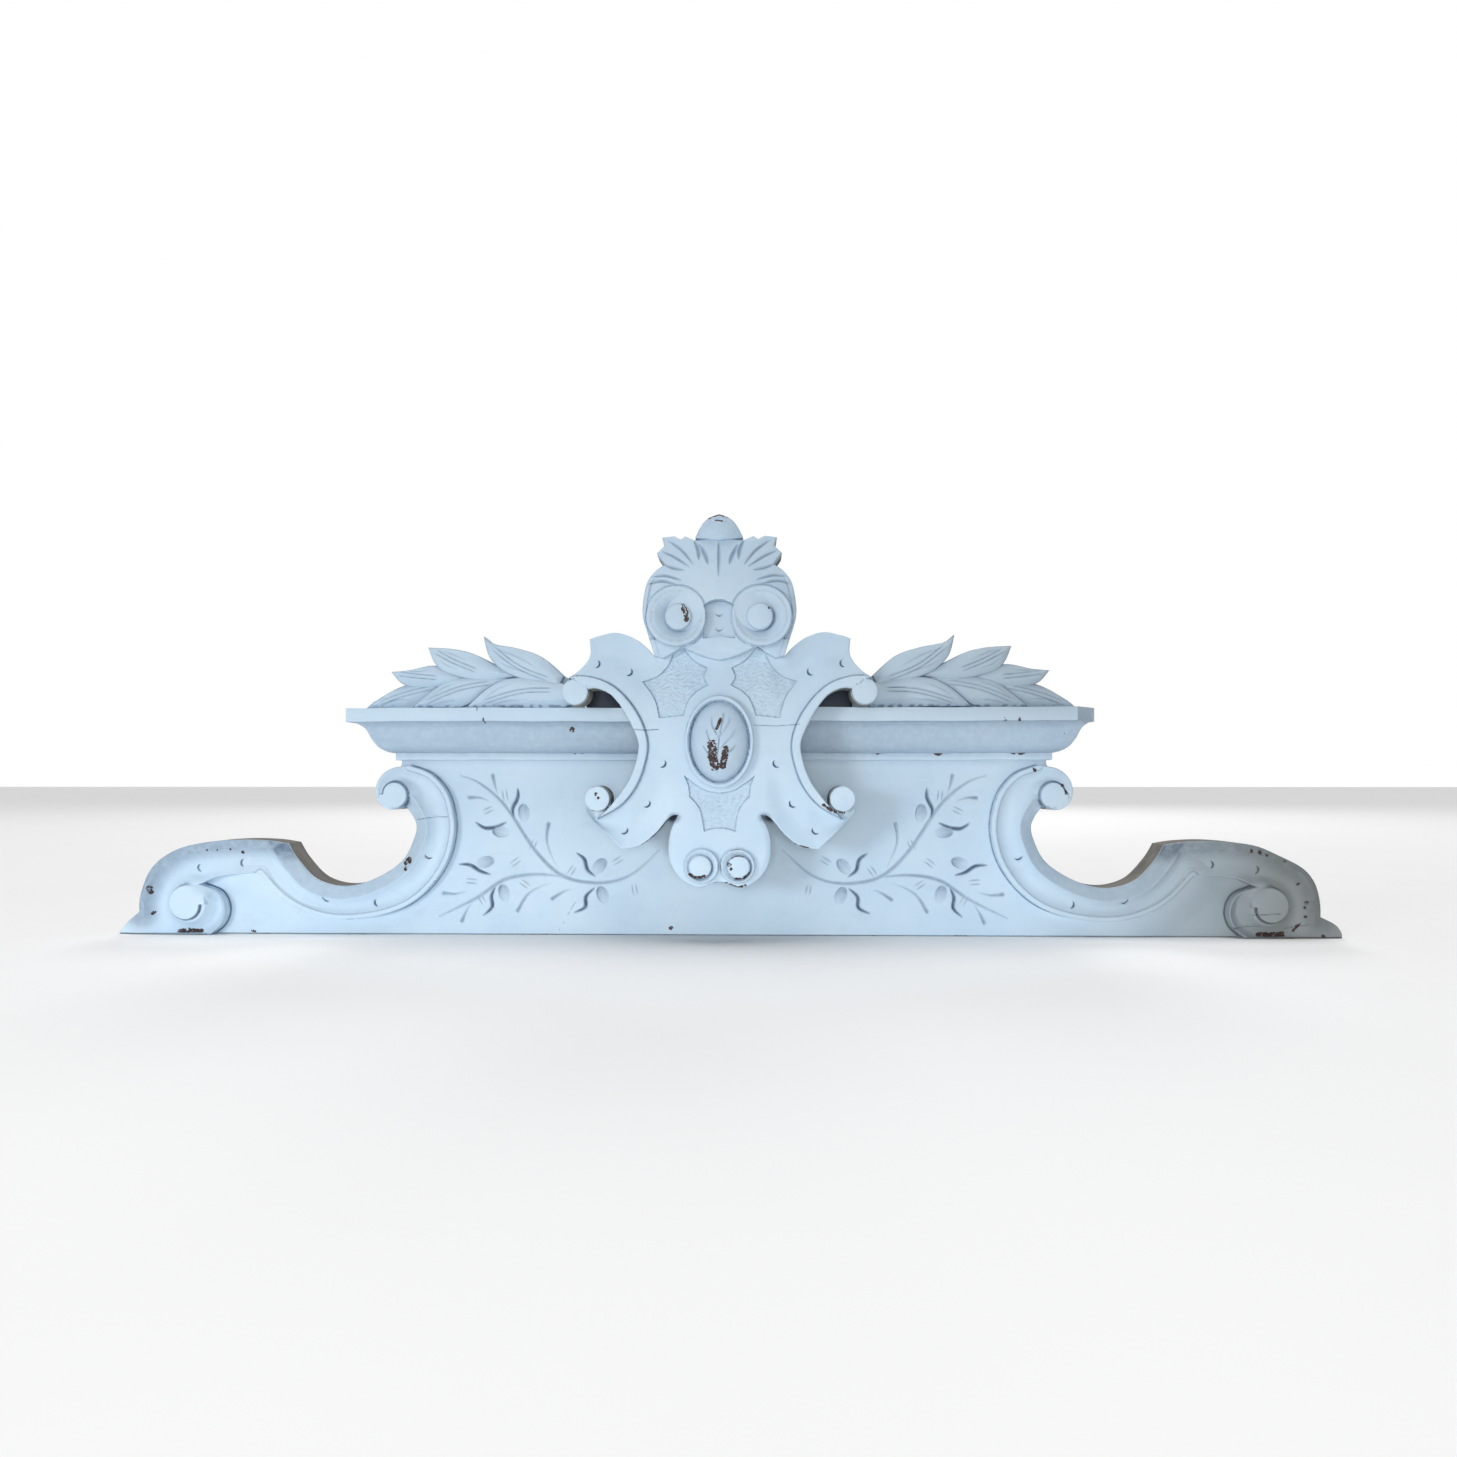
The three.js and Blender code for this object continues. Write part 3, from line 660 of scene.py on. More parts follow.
def raw_wood(finish):
    """Unpainted grey wood of the edges and the back, with saw marks and splashes of paint."""
    desk = NodeDesk("raw_grey_wood")
    grain = desk.noise(36, 8, 0.7, stretch=(0.06, 1, 1))
    colour = desk.mix(desk.between(grain, 0.3, 0.75), finish.raw_edge, tinted(finish.raw_edge, 2.1))
    splash = desk.times(desk.between(desk.noise(22, 5, 0.65), 0.63, 0.68), 0.5)
    colour = desk.mix(splash, colour, tinted(finish.paint, 0.55))
    desk.feed(desk.shader, {"Base Color": colour, "Roughness": 0.85, "Normal": desk.bump(grain, 0.5, 0.0015)})
    return desk.material


def finishes(context):
    """The two materials, made once."""
    finish = context.scene.pediment_finish
    paint = bpy.data.materials.get("worn_blue_paint") or worn_paint(finish)
    raw = bpy.data.materials.get("raw_grey_wood") or raw_wood(finish)
    return [paint, raw]


# Board and scrolls

OUTER_LINE = smooth(SCROLL_OUTER, 5)
RING_LINE = smooth(LOWER_RING, 6)
VINE_LINES = [smooth(STEM, 6), smooth(SHOOT, 6)]
TWIG_LINES = [smooth(line, 4) for line in TWIGS]
STROKE_LINES = [smooth(line, 4) for line in LEAF_STROKES]
FIELD_REACH = (48, 690)
# Painted deep shade given to the tongue of the board behind the cartouche
IN_SHADE = 3.0


def volute_edge():
    """Outer edge of the upper volute, from its foot round the outside to the neck."""
    x, z, _ = UPPER_EYE
    inner, growth, steps = 19, 17, 20
    run = ((inner + growth * i / steps, math.pi * (i / steps - 0.5)) for i in range(steps + 1))
    return [(x + r * math.cos(a), z + r * math.sin(a)) for r, a in run]


def wing_edge(side):
    return smooth(TOE[side], 3) + smooth(HUMP[side], 5)[1:] + smooth(BAY, 6)[1:] + volute_edge()


def board_outline():
    top = [(NECK, CORNICE_FOOT - 4), (NECK, CAP_TOP), (TONGUE_HALF, CAP_TOP), (TONGUE_HALF, TONGUE_TOP - 10),
           (TONGUE_HALF - 12, TONGUE_TOP)]
    return wing_edge(1) + top + flip(wing_edge(-1) + top, -1)[::-1]


def tick_lines():
    """Pairs of short fine lines beside the vine."""
    lines = []
    reach, apart = 9, 2.6
    for x, z, turn in TICKS:
        dx, dz = reach * math.cos(turn), reach * math.sin(turn)
        for offset in (-apart, apart):
            cx, cz = x - offset * math.sin(turn), z + offset * math.cos(turn)
            lines.append([(cx - dx, cz - dz), (cx + dx * 0.7, cz + dz * 0.7)])
    return lines


def field_carving(cut):
    """Front of the flat field with its vine. Toward the wings it rises to the edge of the scroll."""
    ticks = tick_lines()
    # Lines, width and depth of the cut, how it swells and how dark it is
    groups = [(VINE_LINES, 6.0, cut, "swell", 0.75), (TWIG_LINES, 6.5, cut, "flare", 0.95),
              (STROKE_LINES, 6.0, 2 * cut, "swell", 1.6), (ticks, 2.6, 0.45 * cut, "swell", 0.8)]

    def carve(x, z):
        u = np.abs(x)
        gouged = grimy_and_shaded = np.zeros(x.shape)
        for lines, width, deep, shape, dark in groups:
            made = deepest(stroke(line, u, z, width, deep, shape) for line in lines)
            gouged = np.maximum(gouged, made)
            grimy_and_shaded = np.maximum(grimy_and_shaded, dark * np.clip(1.5 * made / deep, 0, 1))
        scooped = deepest(scoop(mark, u, z) for mark in LEAF_SCOOPS)
        crack = stroke(FIELD_CRACK, x, z, 1.5, 0.8, "even") * (ripple(x, z, 6) > 0)
        at_scroll, at_ring = away(OUTER_LINE, u, z), away(RING_LINE, u, z)
        # Painted shade: dark lines where the field meets the scroll and its ring, a deep pit beside the
        # cartouche's lobe and a band under the cornice
        by_scroll = ease(at_scroll, 2.6, 0.6) * ease(u, 470, 400) + 1.5 * ease(at_ring, 3, 0.6)
        by_lobe = 2.6 * ease(np.hypot(u - 64, 1.2 * (z - 155)), 11, 4)
        under_cornice = 0.35 * ease(z, CORNICE_FOOT - 9, CORNICE_FOOT)
        painted_shade = np.maximum(1.5 * by_scroll, under_cornice) + by_lobe
        grimy_and_shaded = deepest((grimy_and_shaded, 0.26 * scooped, 2 * crack, painted_shade))
        beside_scroll = 9.5 * ease(u, 440, 540) * ease(at_scroll, 45, 3)
        depth = BOARD + beside_scroll - deepest((gouged, scooped, crack)) + 0.25 * ripple(x, z, 90)
        # Above the cap, the tongue of the board behind the cartouche is painted dark as deep shade
        return depth, np.where(z > CAP_TOP, IN_SHADE, grimy_and_shaded)

    def fine(x, z):
        u = np.abs(x)
        return (near_any(away, VINE_LINES + TWIG_LINES + STROKE_LINES + ticks, u, z, 4.5)
                | near_any(off, LEAF_SCOOPS, u, z, 14) | near_any(away, (OUTER_LINE, RING_LINE), u, z, 5)
                | (away(FIELD_CRACK, x, z) < 2))

    return carve, fine


def scroll_outline(side):
    return flip(wing_edge(side) + OUTER_LINE + smooth(FIELD_TOP, 4)[1:] + RING_LINE[1:], side)


def scroll_carving(side, sink):
    """Front of a C scroll and its wing: sloped edge at the bay, hollow, and a flat fillet by the field."""
    bay = smooth([(590, 141)] + BAY, 6)
    lines = (bay, smooth(HUMP[side], 5), volute_edge(), OUTER_LINE, smooth(FIELD_TOP, 4)[:-1] + RING_LINE)

    def carve(x, z):
        u = side * x
        at_bay, at_rim, at_volute, at_field, at_ring = (away(line, u, z) for line in lines)
        low_eye, top_eye = (off(eye, u, z) - eye[2] for eye in (LOWER_EYE, UPPER_EYE))
        into = np.minimum.reduce([at_bay - SLOPE, at_rim - RIM, at_volute - 3.5, at_ring - 1.5])
        out = np.minimum.reduce([at_field - FILLET, low_eye + 1, top_eye + 1])
        share = np.clip(into, 0, None) / (np.clip(into, 0, None) + np.clip(out, 0, None) + 1e-6)
        room = np.clip((into + out) / 26, 0.25, 1)
        hollow = (1 + 0.5 * ease(low_eye, 45, 8)) * room * np.sin(np.pi * np.clip(share, 0, 1)) ** 0.75
        depth = SCROLL - 2 * share - np.where((into > 0) & (out > 0), sink * hollow, 0)
        depth = np.where(at_field < FILLET, SCROLL - 2 - 1.1 * peak(at_field, FILLET, 1.2), depth)
        depth = np.where(at_rim < RIM, SCROLL - 1.5 - 3.5 * (1 - at_rim / RIM) ** 2, depth)
        beside_bay = (at_bay < SLOPE) & (top_eye > -2)
        sloped = np.minimum(depth, BAY_EDGE + (SCROLL - BAY_EDGE) * at_bay / SLOPE)
        depth = np.where(beside_bay, sloped, depth)
        step_shadow = 0
        for *spiral, front in SPIRALS:
            on_eye, step = curl(u, z, *spiral)
            depth = depth + (front - depth) * on_eye
            step_shadow = step_shadow + step
        on_toe = ease(u, 756, 771) * ease(z, 38, 27)
        depth = depth + (TOE_FRONT - 3 * ease(u, 769, 795) - depth) * on_toe
        cracked = sum(stroke(line, x, z, 1.5, 1.0, "even") for line in SCROLL_CRACKS)
        gouged = sum(crescent(mark, u, z) for mark in SCROLL_MARKS)
        # Painted shade darkens the line along the fillet, the hollow beside it, the rim of the hump, the
        # slope at the bay and the ring by the lower eye; the spiral steps get painted shadows, and gouges and
        # cracks are darkened too
        grimy_and_shaded = (0.9 * gouged + 0.95 * peak(at_field, FILLET, 1.3) + 0.35 * hollow * ease(out, 8, 0)
                 + 0.95 * ease(at_rim, 30, 6) + 0.5 * beside_bay * ease(at_bay, SLOPE + 0.5, SLOPE - 2.5)
                 + 0.3 * ease(at_ring, 18, 2) * (z < LOWER_RING[0][1]))
        grimy_and_shaded = np.clip(np.clip(grimy_and_shaded, 0, 1.7) + 1.6 * step_shadow + 1.5 * cracked, 0, 2.6)
        return depth - gouged - cracked + 0.3 * ripple(x, z, 70), grimy_and_shaded

    def fine(x, z):
        u = side * x
        near = (np.abs(away(OUTER_LINE, u, z) - FILLET) < 3) | (np.abs(away(bay, u, z) - SLOPE + 1) < 2.2)
        for eye in (LOWER_EYE, UPPER_DISC):
            near |= np.abs(off(eye, u, z) - 0.85 * eye[2]) < 0.25 * eye[2]
        return near | near_any(away, SCROLL_CRACKS, x, z, 2) | near_any(off, SCROLL_MARKS, u, z, 7)

    return carve, fine


def curl(u, z, eye, start, sweep, inner):
    """How far a place belongs to a spiral eye, from 0 to 1, and how close it is to the spiral's step.

    The eye's edge opens from the inner radius at the start angle to the full one after the sweep, and
    there it runs out into the hollow.
    """
    cx, cz, r = eye
    turn = (np.degrees(np.arctan2(z - cz, u - cx)) - start) % 360
    reach = inner + (r - inner) * np.clip(turn / sweep, 0, 1)
    from_middle = off(eye, u, z)
    on_eye = ease(from_middle, reach + 0.8, reach - 0.4)
    run_out = (ease(turn, sweep - 20, sweep + 35) * (1 - 0.6 * ease(turn, 330, 360))
               + 0.4 * ease(turn, 110, 0)) * ease(from_middle, r + 15, r + 2)
    # Closeness to the step, weighted toward one side, is painted dark later as the step's shadow
    step = peak(from_middle, reach + 1.2, 2) * ease(turn, sweep + 35, sweep - 20)
    return np.maximum(on_eye, run_out), step * (1 + 0.6 * ease(turn, 140, 20))


def domed(circle, front, dome):
    """Front of a round eye that swells a little toward its middle."""
    def carve(x, z):
        out = off(circle, x, z) / circle[2]
        # The edge of the eye is darkened a little as painted shade
        return front - dome * out ** 2 + 0.3 * ripple(x, z, 14), 0.15 * ease(out, 0.85, 1)

    return carve


def level(front, dirt_and_shade):
    """A flat front, evenly darkened by soiling and painted shade."""
    return lambda x, z: (np.full(x.shape, front), np.full(x.shape, dirt_and_shade))


class PEDIMENT_OT_board(bpy.types.Operator):
    """Carves the long board with its wings, volutes and vine"""

    bl_idname = "pediment.board"
    bl_label = "Carved board"

    def execute(self, context):
        sizes = context.scene.pediment_sizes
        bm = drawing()
        carve, fine = field_carving(sizes.vine_cut)
        add_slab(bm, board_outline(), 0, carve, sizes.cell, sizes.edge_round, fine, True, FIELD_REACH)
        for side in (-1, 1):
            carve, fine = scroll_carving(side, sizes.cove_sink)
            add_slab(bm, scroll_outline(side), BOARD - 1, carve, sizes.cell, sizes.edge_round, fine)
        dress(bm, "carved_board", ["main_board"], finishes(context))
        return {"FINISHED"}


# Cornice

CORNICE_END = NECK + PROJECTION
CLIP = 30
RUN_STEP = 2.5


def cornice_profile():
    """Section of the crown moulding: how far it stands out from the board, and its height."""
    hollow = smooth([(30, CAP_FOOT - 20), (36, CAP_FOOT - 7), (46, CAP_FOOT)], 8)
    swell = smooth([(6, CORNICE_FOOT + 9), (14, CORNICE_FOOT + 11), (23, CORNICE_FOOT + 17),
                    (30, CAP_FOOT - 20)], 6)
    return ([(GAP, CORNICE_FOOT), (6, CORNICE_FOOT), (6, CORNICE_FOOT + 8.5)] + swell + hollow[1:]
            + [(PROJECTION, CAP_FOOT), (PROJECTION, WORN_CAP), (GAP, WORN_CAP)])


def moulding_run(start, end, place):
    """A straight length of the moulding; place(out, height, along) gives each corner its point."""
    bm = drawing()
    section = bm.faces.new([bm.verts.new(place(p, z, start)) for p, z in cornice_profile()])
    grown = bmesh.ops.extrude_face_region(bm, geom=[section], use_keep_orig=True)["geom"]
    travel = Vector(place(0, 0, end)) - Vector(place(0, 0, start))
    bmesh.ops.translate(bm, vec=travel, verts=[g for g in grown if isinstance(g, bmesh.types.BMVert)])
    bmesh.ops.recalc_face_normals(bm, faces=bm.faces)
    way = travel.normalized()
    arrises = [e for e in bm.edges if e.calc_face_angle(0) > math.radians(30)
               and abs((e.verts[1].co - e.verts[0].co).normalized().dot(way)) > 0.9]
    bmesh.ops.bevel(bm, geom=arrises, offset=0.7, segments=2, profile=0.5, affect="EDGES", material=-1)
    steps = int(travel.length / RUN_STEP)
    for i in range(1, steps):
        at = Vector(place(0, 0, start)) + travel * i / steps
        geom = bm.verts[:] + bm.edges[:] + bm.faces[:]
        bmesh.ops.bisect_plane(bm, geom=geom, dist=1e-4, plane_co=at, plane_no=way)
    return bm


def trim(bm, at, normal):
    """Cuts away what lies beyond a plane and closes the cut."""
    geom = bm.verts[:] + bm.edges[:] + bm.faces[:]
    bmesh.ops.bisect_plane(bm, geom=geom, dist=1e-4, plane_co=at, plane_no=normal, clear_outer=True)
    bmesh.ops.holes_fill(bm, edges=[e for e in bm.edges if e.is_boundary], sides=0)


def weather(bm):
    """Makes a moulding slightly uneven, as a planed and painted one is, marks its arrises as worn, and
    darkens its cyma and the lines along it as painted shade.
    """
    drop, dirt_and_shade = bm.verts.layers.float.get("drop"), bm.verts.layers.float.get("dirt_and_shade")
    for v in bm.verts:
        angles = [e.calc_face_angle(0) for e in v.link_edges if len(e.link_faces) == 2]
        height = v.co.z
        arris = max(angles, default=0) > math.radians(25) and v.co.x < CORNICE_END - CLIP - 4
        v[drop] = (1.0 if height > CAP_FOOT - 1 else 0.55) * arris
        # Painted shade: the cyma under the cap, and the lines along its fillet and under the cap, are
        # darkened
        v[dirt_and_shade] = 0.50 if CORNICE_FOOT + 10 < height < CAP_FOOT - 1 else 0.0
        if abs(height - CORNICE_FOOT - 8.5) < 1.2 or abs(height - CAP_FOOT) < 0.6:
            v[dirt_and_shade] = 0.6
    for v in bm.verts:
        if v.co.y < -BOARD - 1:
            v.co.z += 0.35 * math.sin(v.co.x / 61 + 0.7) + 0.2 * math.sin(v.co.x / 17)


class PEDIMENT_OT_cornice(bpy.types.Operator):
    """Runs the crown moulding across the front and round both ends"""

    bl_idname = "pediment.cornice"
    bl_label = "Cornice"

    def execute(self, context):
        materials = finishes(context)
        clipped = (CORNICE_END - CLIP, -BOARD - PROJECTION, 0), (1, -1, 0)
        bm = moulding_run(-CORNICE_END, CORNICE_END, lambda p, z, s: (s, -BOARD - p, z))
        trim(bm, (NECK - GAP, -BOARD, 0), (1, 1, 0))
        trim(bm, (-NECK + GAP, -BOARD, 0), (-1, 1, 0))
        trim(bm, *clipped)
        weather(bm)
        dress(bm, "crown_moulding", ["cornice_front"], materials)
        for side, word in ((-1, "left"), (1, "right")):
            bm = moulding_run(0, BOARD + PROJECTION, lambda p, z, s: (side * (NECK + p), -s, z))
            trim(bm, (side * NECK, -BOARD + GAP, 0), (-side, -1, 0))
            if side > 0:
                trim(bm, *clipped)
            weather(bm)
            dress(bm, f"crown_return_{word}", [f"cornice_return_{word}"], materials)
        return {"FINISHED"}


# Laurel sprays

SPRAY_GROUND, GROUND_CELL, LEAF_CELL = 66.0, 6, 1.3


def leaf_carving(edge, vein, lines, front):
    """Front of one leaf: full in the middle, thin at its edge, with a midrib and fine lines."""
    closed = edge + edge[:1]

    def carve(x, z):
        from_edge = away(closed, x, z)
        full = np.clip(from_edge / 13, 0, 1)
        from_vein, place = nearest(vein, x, z)
        rib = 1.3 * peak(from_vein, 2.4, 1.3) * ease(np.abs(place - 0.5), 0.42, 0.3)
        fine_lines = sum(stroke(line, x, z, 2.4, 0.8) for line in lines)
        depth = front - 6 * (1 - full) ** 1.8 - (rib + fine_lines) * full
        # Painted shade: dark outlines round the leaves where they meet, and a broken dark line where they
        # stand on the cap
        edge_shade = 0.9 * ease(from_edge, 1.5, 0.4)
        shade_on_cap = 1.3 * ease(z, WORN_CAP + 6, WORN_CAP + 3) * ease(ripple(x, z, 23), -0.1, 0.2)
        grimy_and_shaded = 0.9 * rib + 1.1 * fine_lines + edge_shade + shade_on_cap
        return depth + 0.3 * ripple(x, z, 26), np.clip(grimy_and_shaded, 0, 1.7)

    return carve


class PEDIMENT_OT_sprays(bpy.types.Operator):
    """Carves the two laurel sprays that stand on the cap"""

    bl_idname = "pediment.sprays"
    bl_label = "Laurel sprays"

    def execute(self, context):
        sizes = context.scene.pediment_sizes
        for side, word in ((-1, "left"), (1, "right")):
            def placed(points):
                return flip([(x + SPRAY_SHIFT[side], z) for x, z in points], side)

            bm = drawing()
            body = placed(smooth(SPRAY_BODY[1:], 4) + SPRAY_BODY[:1])
            # The ground behind the leaves is darkened evenly, by soiling and painted shade
            add_slab(bm, body, SPRAY_BACK, level(SPRAY_GROUND, 0.5), GROUND_CELL, sizes.edge_round)
            for (over, under, front), vein in zip(SPRAY_LEAVES, SPRAY_VEINS):
                edge = placed(smooth(over, 6) + smooth(under, 6)[1:-1])
                lines = [smooth(placed(line), 4) for line in SPRAY_LINES]
                carve = leaf_carving(edge, smooth(placed(vein), 6), lines, front)
                add_slab(bm, edge, SPRAY_BACK + 6, carve, LEAF_CELL, sizes.edge_round)
            dress(bm, f"laurel_spray_{word}", [f"leaf_spray_{word}"], finishes(context))
        return {"FINISHED"}


# Cartouche

PLATE_CELL, BLOCK_CELL = 2.35, 20
CREST_CELL, KNOB_CELL, LIP_CELL, BOSS_CELL, EYE_CELL = 2.1, 1.9, 1.8, 1.5, 2.2
# Volutes: disc, eye, front of the disc and depth of the hollow round the eye
VOLUTES = [(BIG_VOLUTE, BIG_EYE, 160, 9), (FOOT_SPIRAL, FOOT_EYE, 141, 5)]


def cartouche_outline():
    return both(KNOB[:4] + CREST_TEETH[1:-1] + smooth(CREST_SIDE, 5)[:-1]
                + smooth(EAR, 5) + smooth(EAR_SIDE, 5)[1:] + arc(EAR_VOLUTE, 52, -195, 22)
                + smooth(C_EDGE, 5) + arc(FOOT_VOLUTE, 185, -25, 20)
                + smooth(LOWER_EAR, 5) + smooth(LOWER_EAR_FOOT, 5)[1:] + smooth(LOBE, 5))


def cornered(runs):
    """One line of rounded runs that meet at corners, without the last point."""
    return [point for run in runs for point in smooth(run, 5)[:-1]]


def oval_reach(x, z, inset_x=0, inset_z=0):
    """0 in the middle of the oval boss and 1 on its edge, or on an oval set in from it."""
    return np.hypot(x / (OVAL_X - inset_x), (z - OVAL_HEIGHT) / (OVAL_Z - inset_z))


def plate_carving():
    """Front of the cartouche's body: hollow ears, raised C bands, sunk rough grounds, gouges and splits."""
    c_line = smooth(C_LINE, 6)
    band = c_line + smooth(C_EDGE, 6)[::-1]
    ears = smooth(EAR, 6), smooth(LOWER_EAR, 6) + smooth(LOWER_EAR_FOOT, 6)
    upper_panel = cornered(UPPER_PANEL)
    lower_panel = both(cornered(LOWER_PANEL) + LOWER_PANEL[-1][-1:])
    lobe = smooth(LOBE, 6)

    def sunk_at(x, z):
        return inside(upper_panel, np.abs(x), z) | inside(lower_panel, x, z)

    def from_panels(x, z):
        return np.minimum(away(upper_panel + upper_panel[:1], np.abs(x), z),
                          away(lower_panel + lower_panel[:1], x, z))

    def carve(x, z):
        u = np.abs(x)
        depth = PLATE + 7 * np.exp(-(x / 75) ** 2 - ((z - OVAL_HEIGHT) / 105) ** 2)
        from_line = away(c_line, u, z)
        for edge in ears:
            from_edge = away(edge, u, z)
            share = from_edge / (from_edge + from_line + 1e-6)
            depth -= 6.5 * ease(from_edge, 62, 20) * ease(u, 55, 80) * np.sin(np.pi * np.clip(share, 0, 1))
        depth = np.where(inside(band, u, z), BAND - 1.5 * ease(from_line, 9, 14), depth)
        seam = peak(from_line, 0, 1.4) * ease(u, 60, 85)
        depth -= 1.6 * seam
        sunk = sunk_at(x, z)
        rough = ripple(0.45 * x, z + 2.5 * np.sin(x / 9), 7.5) + 0.6 * ripple(x + 0.7 * z, z - 0.4 * x, 5.0)
        depth = np.where(sunk, depth - 2.8 + 0.8 * rough, depth)
        from_lobe = away(lobe, u, z)
        depth -= 2.0 * peak(from_lobe, 0, 8) * (z < 150) * (from_lobe < 4.5)
        gouged = sum(crescent(mark, u, z) for mark in CARTOUCHE_MARKS)
        split = sum(stroke(line, x, z, wide, deep, "even") for line, wide, deep in SPLITS)
        from_spiral = off(FOOT_SPIRAL, u, z) - FOOT_SPIRAL[2]
        from_boss = (oval_reach(x, z) - 1) * OVAL_MEAN
        # Painted shade in the notch beside the lobe, round the foot spirals and the boss, and along the edges
        # of the sunk grounds
        notch = np.hypot(u - 55, 1.3 * (z - 157))
        crevice_shade = (1.2 * ease(notch, 11, 3) + 0.8 * ease(from_spiral, 3, 0) + 0.2 * ease(from_boss, 4, 0)
                    + 0.6 * sunk * ease(from_panels(x, z), 1.8, 0.3))
        grimy_and_shaded = np.clip(1.1 * gouged + seam + 2 * split + crevice_shade - 0.12 * sunk * rough, 0, 1.8)
        return depth - gouged - split + 0.25 * ripple(x, z, 60) * ~sunk, grimy_and_shaded

    def fine(x, z):
        u = np.abs(x)
        return ((away(c_line, u, z) < 3) | (from_panels(x, z) < 2.5) | near_any(off, CARTOUCHE_MARKS, u, z, 7)
                | near_any(away, [line for line, *_ in SPLITS], x, z, 2.5) | sunk_at(x, z))

    return carve, fine


def crest_carving():
    """Front of the acanthus crest: a swelling brow with cut veins that arches over a sunk saddle."""
    veins = [(smooth(vein, 5), *(DEEP_CUT if number in DEEP_VEINS else PLAIN_CUT))
             for number, vein in enumerate(CREST_VEINS)]
    side_edge = smooth(CREST_SIDE, 5)
    turn_radius = BIG_VOLUTE[2] + 1.5
    rim_inset = 6

    def arch(x):
        return ARCH_TOP - 0.02 * x ** 2

    def carve(x, z):
        u = np.abs(x)
        rise = z - BROW_LINE
        brow = BROW - np.where(rise > 0, 0.0045, 0.0022) * rise ** 2 - 0.0022 * u ** 2
        cut = deepest(stroke(vein, u, z, wide, deep) for vein, wide, deep in veins)
        marks = sum(crescent(mark, x, z, 4.6, 2.8) for mark in SADDLE_MARKS)
        turn = 2.2 * peak(off(BIG_VOLUTE, u, z), turn_radius, 1.5)
        rim = 1.6 * peak(away(side_edge, u, z), rim_inset, 1.2) * (z < BROW_LINE + 5)
        arched = (u < ARCH_HALF) & (z < arch(x)) & (z > SADDLE_FOOT)
        depth = np.where(arched, SADDLE - marks, brow - cut - turn - rim)
        chin = ease(z, SADDLE_FOOT, SADDLE_FOOT - 8) * ease(u, 46, 38)
        depth = np.where(z < SADDLE_FOOT, np.maximum(depth, CHIN + 7 * chin * ease(z, 347, 358)), depth)
        shade = 0.45 * arched * ease(z, ARCH_TOP - 11, ARCH_TOP - 1)
        grimy_and_shaded = cut / DEEP_CUT[1] + turn / 5 + rim / 3 + marks / 2 + shade
        return depth + 0.3 * ripple(x, z, 40), np.clip(grimy_and_shaded, 0, 1.5)

    def fine(x, z):
        u = np.abs(x)
        near = (np.abs(z - arch(x)) < 3) & (u < ARCH_HALF + 3)
        near |= np.abs(off(BIG_VOLUTE, u, z) - turn_radius) < 3
        near |= np.abs(away(side_edge, u, z) - rim_inset) < 2.5
        near |= near_any(away, [vein for vein, *_ in veins], u, z, 4)
        return near | near_any(off, SADDLE_MARKS, x, z, 6)

    return carve, fine


def spiral_carving(disc, eye, front, sink):
    """Front of a volute: a flat outer turn that falls into a hollow round the eye."""
    def carve(x, z):
        from_eye = off(eye, x, z) - eye[2]
        hollow = sink * np.clip(1 - np.clip(from_eye, 0, None) / (0.42 * disc[2]), 0, 1) ** 1.4
        line = 1.2 * peak(off(disc, x, z), 0.83 * disc[2], 1.2)
        # Painted shadow: the hollow round the eye is darkened, most on its lower right side
        shadowed_side = np.clip(0.5 + 0.5 * (0.85 * (x - eye[0]) - 0.5 * (z - eye[1])) / eye[2], 0, 1)
        grimy_and_shaded = np.clip((0.6 + 1.2 * shadowed_side) * ease(from_eye, 4, 0) + 0.4 * line, 0, 1.8)
        return front - hollow - line + 0.25 * ripple(x, z, 22), grimy_and_shaded

    return carve


def boss_carving():
    """Oval boss: a rolled rim, a dished ground and an egg with a fine incised sprig."""
    lines = [smooth(line, 5) for line in SPRIG]

    def carve(x, z):
        from_edge = (1 - oval_reach(x, z)) * OVAL_MEAN
        rim = 142 + 4.5 * np.sqrt(np.clip(1 - ((from_edge - 2.6) / 3.0) ** 2, 0, 1))
        on_egg = oval_reach(x, z, EGG_INSET_X, EGG_INSET_Z)
        egg = 132 + 25 * np.sqrt(np.clip(1 - on_egg ** 2, 0, 1))
        cut = deepest(stroke(line, x, z, 2.4, 1.1) for line in lines) * (on_egg < 0.95)
        depth = np.maximum(np.where(from_edge < 5.6, rim, 134), egg - cut)
        # A dark line round the egg is painted shade; the egg and its cut sprig are darkened a little more
        return depth, np.clip(0.3 * peak(on_egg, 1, 0.05) + cut + 0.25 * (on_egg < 1), 0, 1.2)

    return carve


def knob_carving():
    """Rounded, roughly dressed knob at the top of the crest."""
    def carve(x, z):
        swell = np.hypot(x / 32, (z - 503) / 26)
        rough = ripple(x, z, 7) + 0.6 * ripple(x + 0.5 * z, z, 4)
        return 158 - 12 * swell ** 2 + 0.6 * rough, np.clip(0.15 - 0.15 * rough, 0, 1)

    return carve


